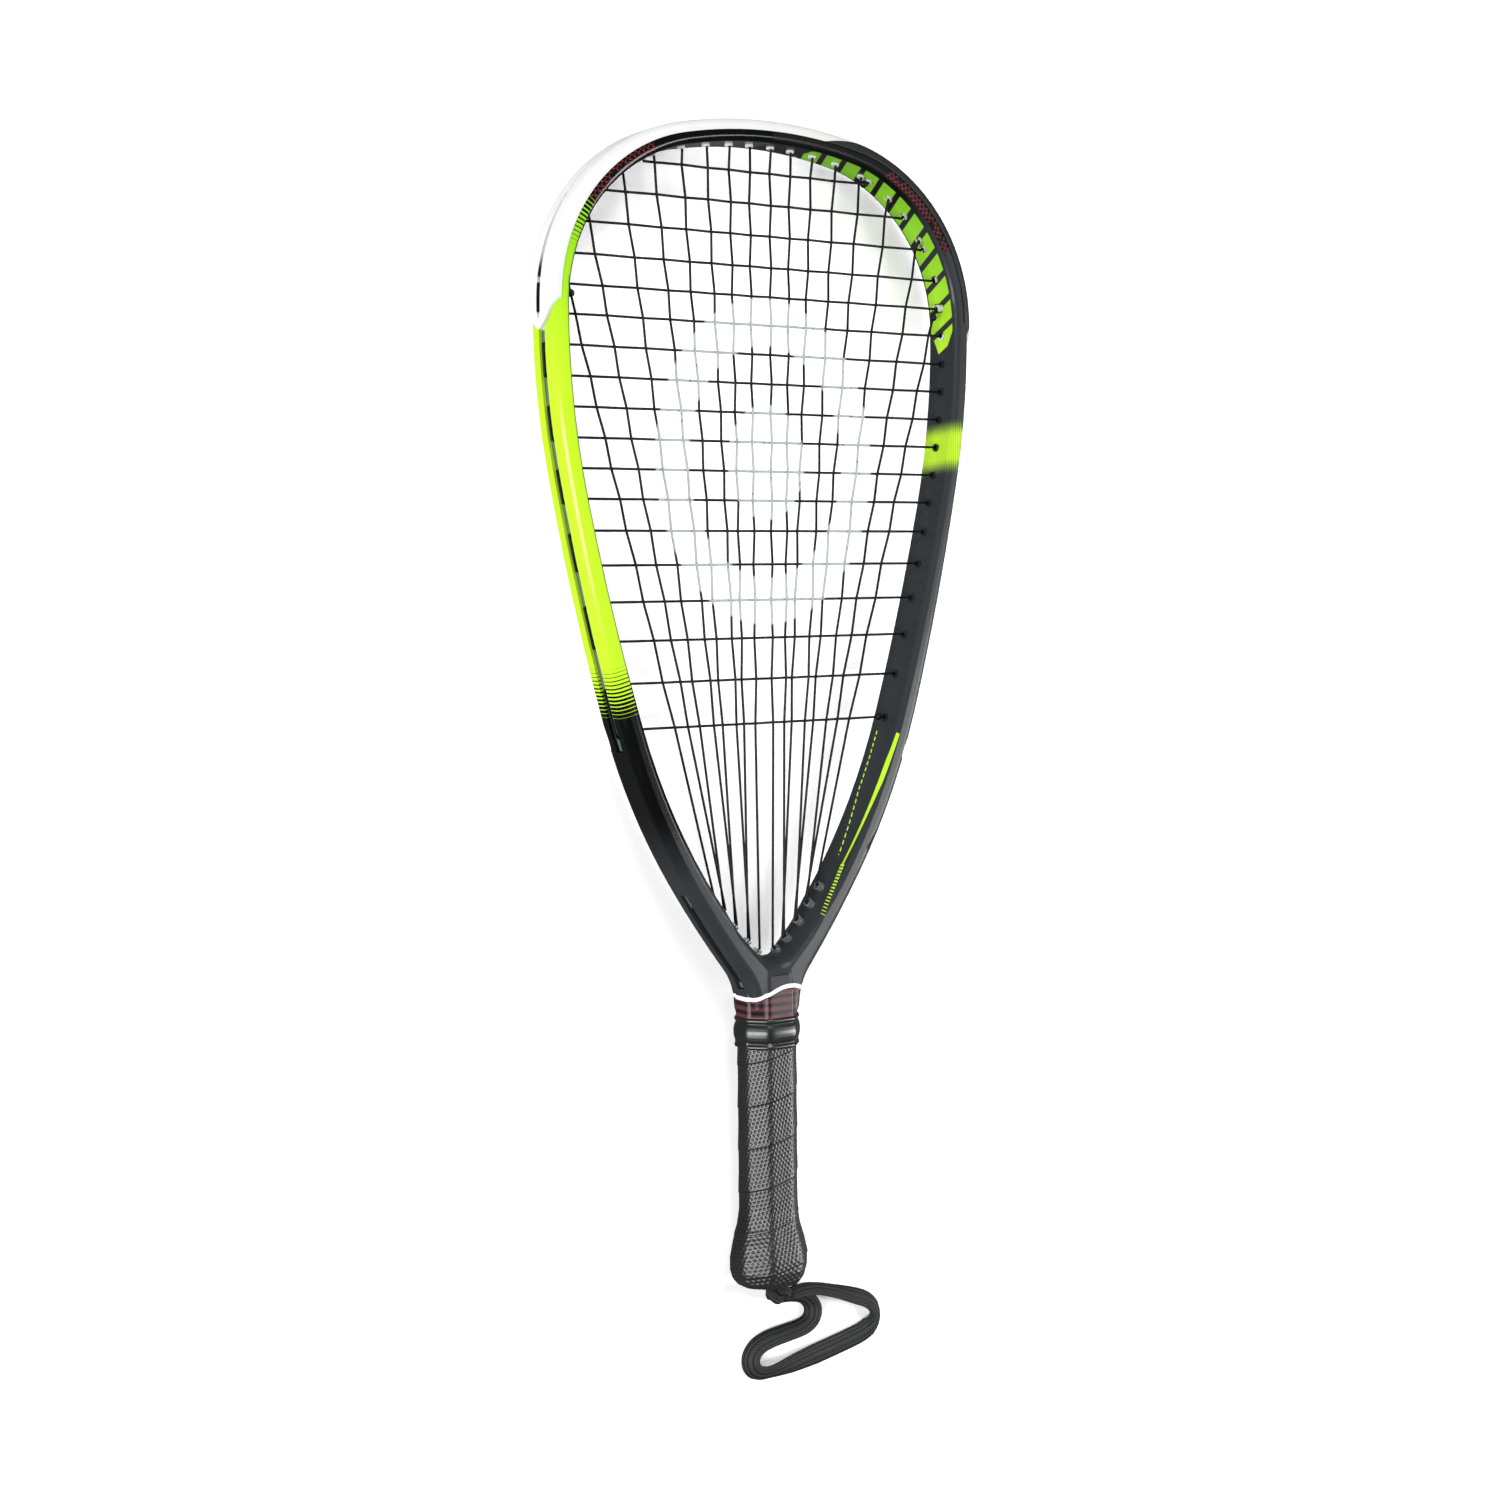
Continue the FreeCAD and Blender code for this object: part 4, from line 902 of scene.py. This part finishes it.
def closed_tube(name, line, width, uv_scale):
    """Ridged tube round a closed line."""
    tangents = unit_rows(np.roll(line, -1, axis=0) - np.roll(line, 1, axis=0))
    side = unit_rows(np.cross(tangents, np.array([0.3, 1.0, 0.2])))
    section = strap_section(width, width * KNOT_SQUASH, KNOT_AROUND, KNOT_RIDGES)
    vertices = tube_points(line, section[None], side, np.cross(tangents, side))
    faces = [tuple(corner % len(vertices) for corner in face)
             for face in ring_faces(len(line) + 1, KNOT_AROUND)]
    return mesh_piece(name, vertices, faces, uv=tube_uv(line, KNOT_AROUND, uv_scale))


def make_knots(look):
    """Tight knots: one outside the butt, one in the cap."""
    for node, body, reach, shift in KNOTS:
        low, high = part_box(node)
        centre = (low + high) / 2 + Vector((0, shift * MM, 0))
        size = reach * MM
        item = closed_tube(node + "_tied", knot_line(centre, size), 2 * size * KNOT_CORD, WEAVE_LENGTH * MM)
        item.data.materials.append(look)
        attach(item, body)
        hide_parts(node)


# ---------------------------------------------------------------- stage

FLOOR_HALF = 6.0
FLOOR_GLOW = 0.22
SURROUND = 0.16
# Name, place, aim, power in watts, width and height of each panel of light.
PANELS = [("key", (-3.0, -0.6, 1.6), (0, -0.1, 0), 165, 0.8, 2.4),
          ("fill", (2.7, -0.6, 2.0), (0, -0.1, 0), 125, 0.8, 2.4),
          ("far", (0.0, 2.9, 2.6), (0, 0, 0), 120, 2.6, 1.2)]


def make_stage():
    """Pale floor under the racket, which glows a little and isn't seen in glossy surfaces."""
    corners = [(x * FLOOR_HALF, y * FLOOR_HALF, 0) for x, y in ((-1, -1), (1, -1), (1, 1), (-1, 1))]
    floor = mesh_piece("floor", corners, [(0, 1, 2, 3)], smooth=False)
    s = Shader("floor_look")
    floor.data.materials.append(s.finish(base_color=(0.93, 0.93, 0.93), roughness=0.9,
                                         emission_color=(1, 1, 1), emission_strength=FLOOR_GLOW))
    floor.visible_glossy = False


def area_light(name, place, aim, power, wide, high):
    """White rectangular panel that faces its aim."""
    data = bpy.data.lights.new(name, "AREA")
    data.shape = "RECTANGLE"
    data.size, data.size_y = wide, high
    data.energy = power
    item = bpy.data.objects.new(name, data)
    item.location = place
    item.rotation_mode = "QUATERNION"
    item.rotation_quaternion = (Vector(aim) - Vector(place)).to_track_quat("-Z", "Y")
    bpy.context.scene.collection.objects.link(item)


def make_light():
    """Soft white studio: a dim surround, with panels to the left, to the right and past the crown."""
    world = bpy.data.worlds.new("studio")
    world.use_nodes = True
    background = world.node_tree.nodes["Background"]
    background.inputs["Color"].default_value = (1, 1, 1, 1)
    background.inputs["Strength"].default_value = SURROUND
    bpy.context.scene.world = world
    for panel in PANELS:
        area_light(*panel)
    bpy.context.scene.view_settings.view_transform = "Standard"


# ---------------------------------------------------------------- everything together

make_camera()
cord_material = cord_look()
make_lanyard(cord_material)
make_knots(cord_material)
dress("lanyard_tether", cord_material)
make_grip()
make_collar()

dress("frame", lacquer())
dress("bumper_guard", bumper_look())
strip_material = strip_look()
for side in ("left", "right"):
    dress("side_grommet_strip_" + side, strip_material)
    dress("throat_grommet_strip_" + side, strip_material)
dress("throat_barrels", clear_look())
string_material = string_look()
for node in ("main_string", "cross_string", "main_string_knots", "cross_string_knots"):
    dress(node, string_material)
dress("butt_cap", plastic_look("cap_look", (0.010, 0.010, 0.011), (0.028, 0.028, 0.030), 0.45))
dress("handle_pallet", plastic_look("foam_look", (0.05, 0.05, 0.05), (0.09, 0.09, 0.09), 0.75))
dress("finishing_tape", plastic_look("tape_look", (0.008, 0.008, 0.009), (0.02, 0.02, 0.022), 0.35))
dress("butt_cap_staples", steel_look())

make_stage()
make_light()
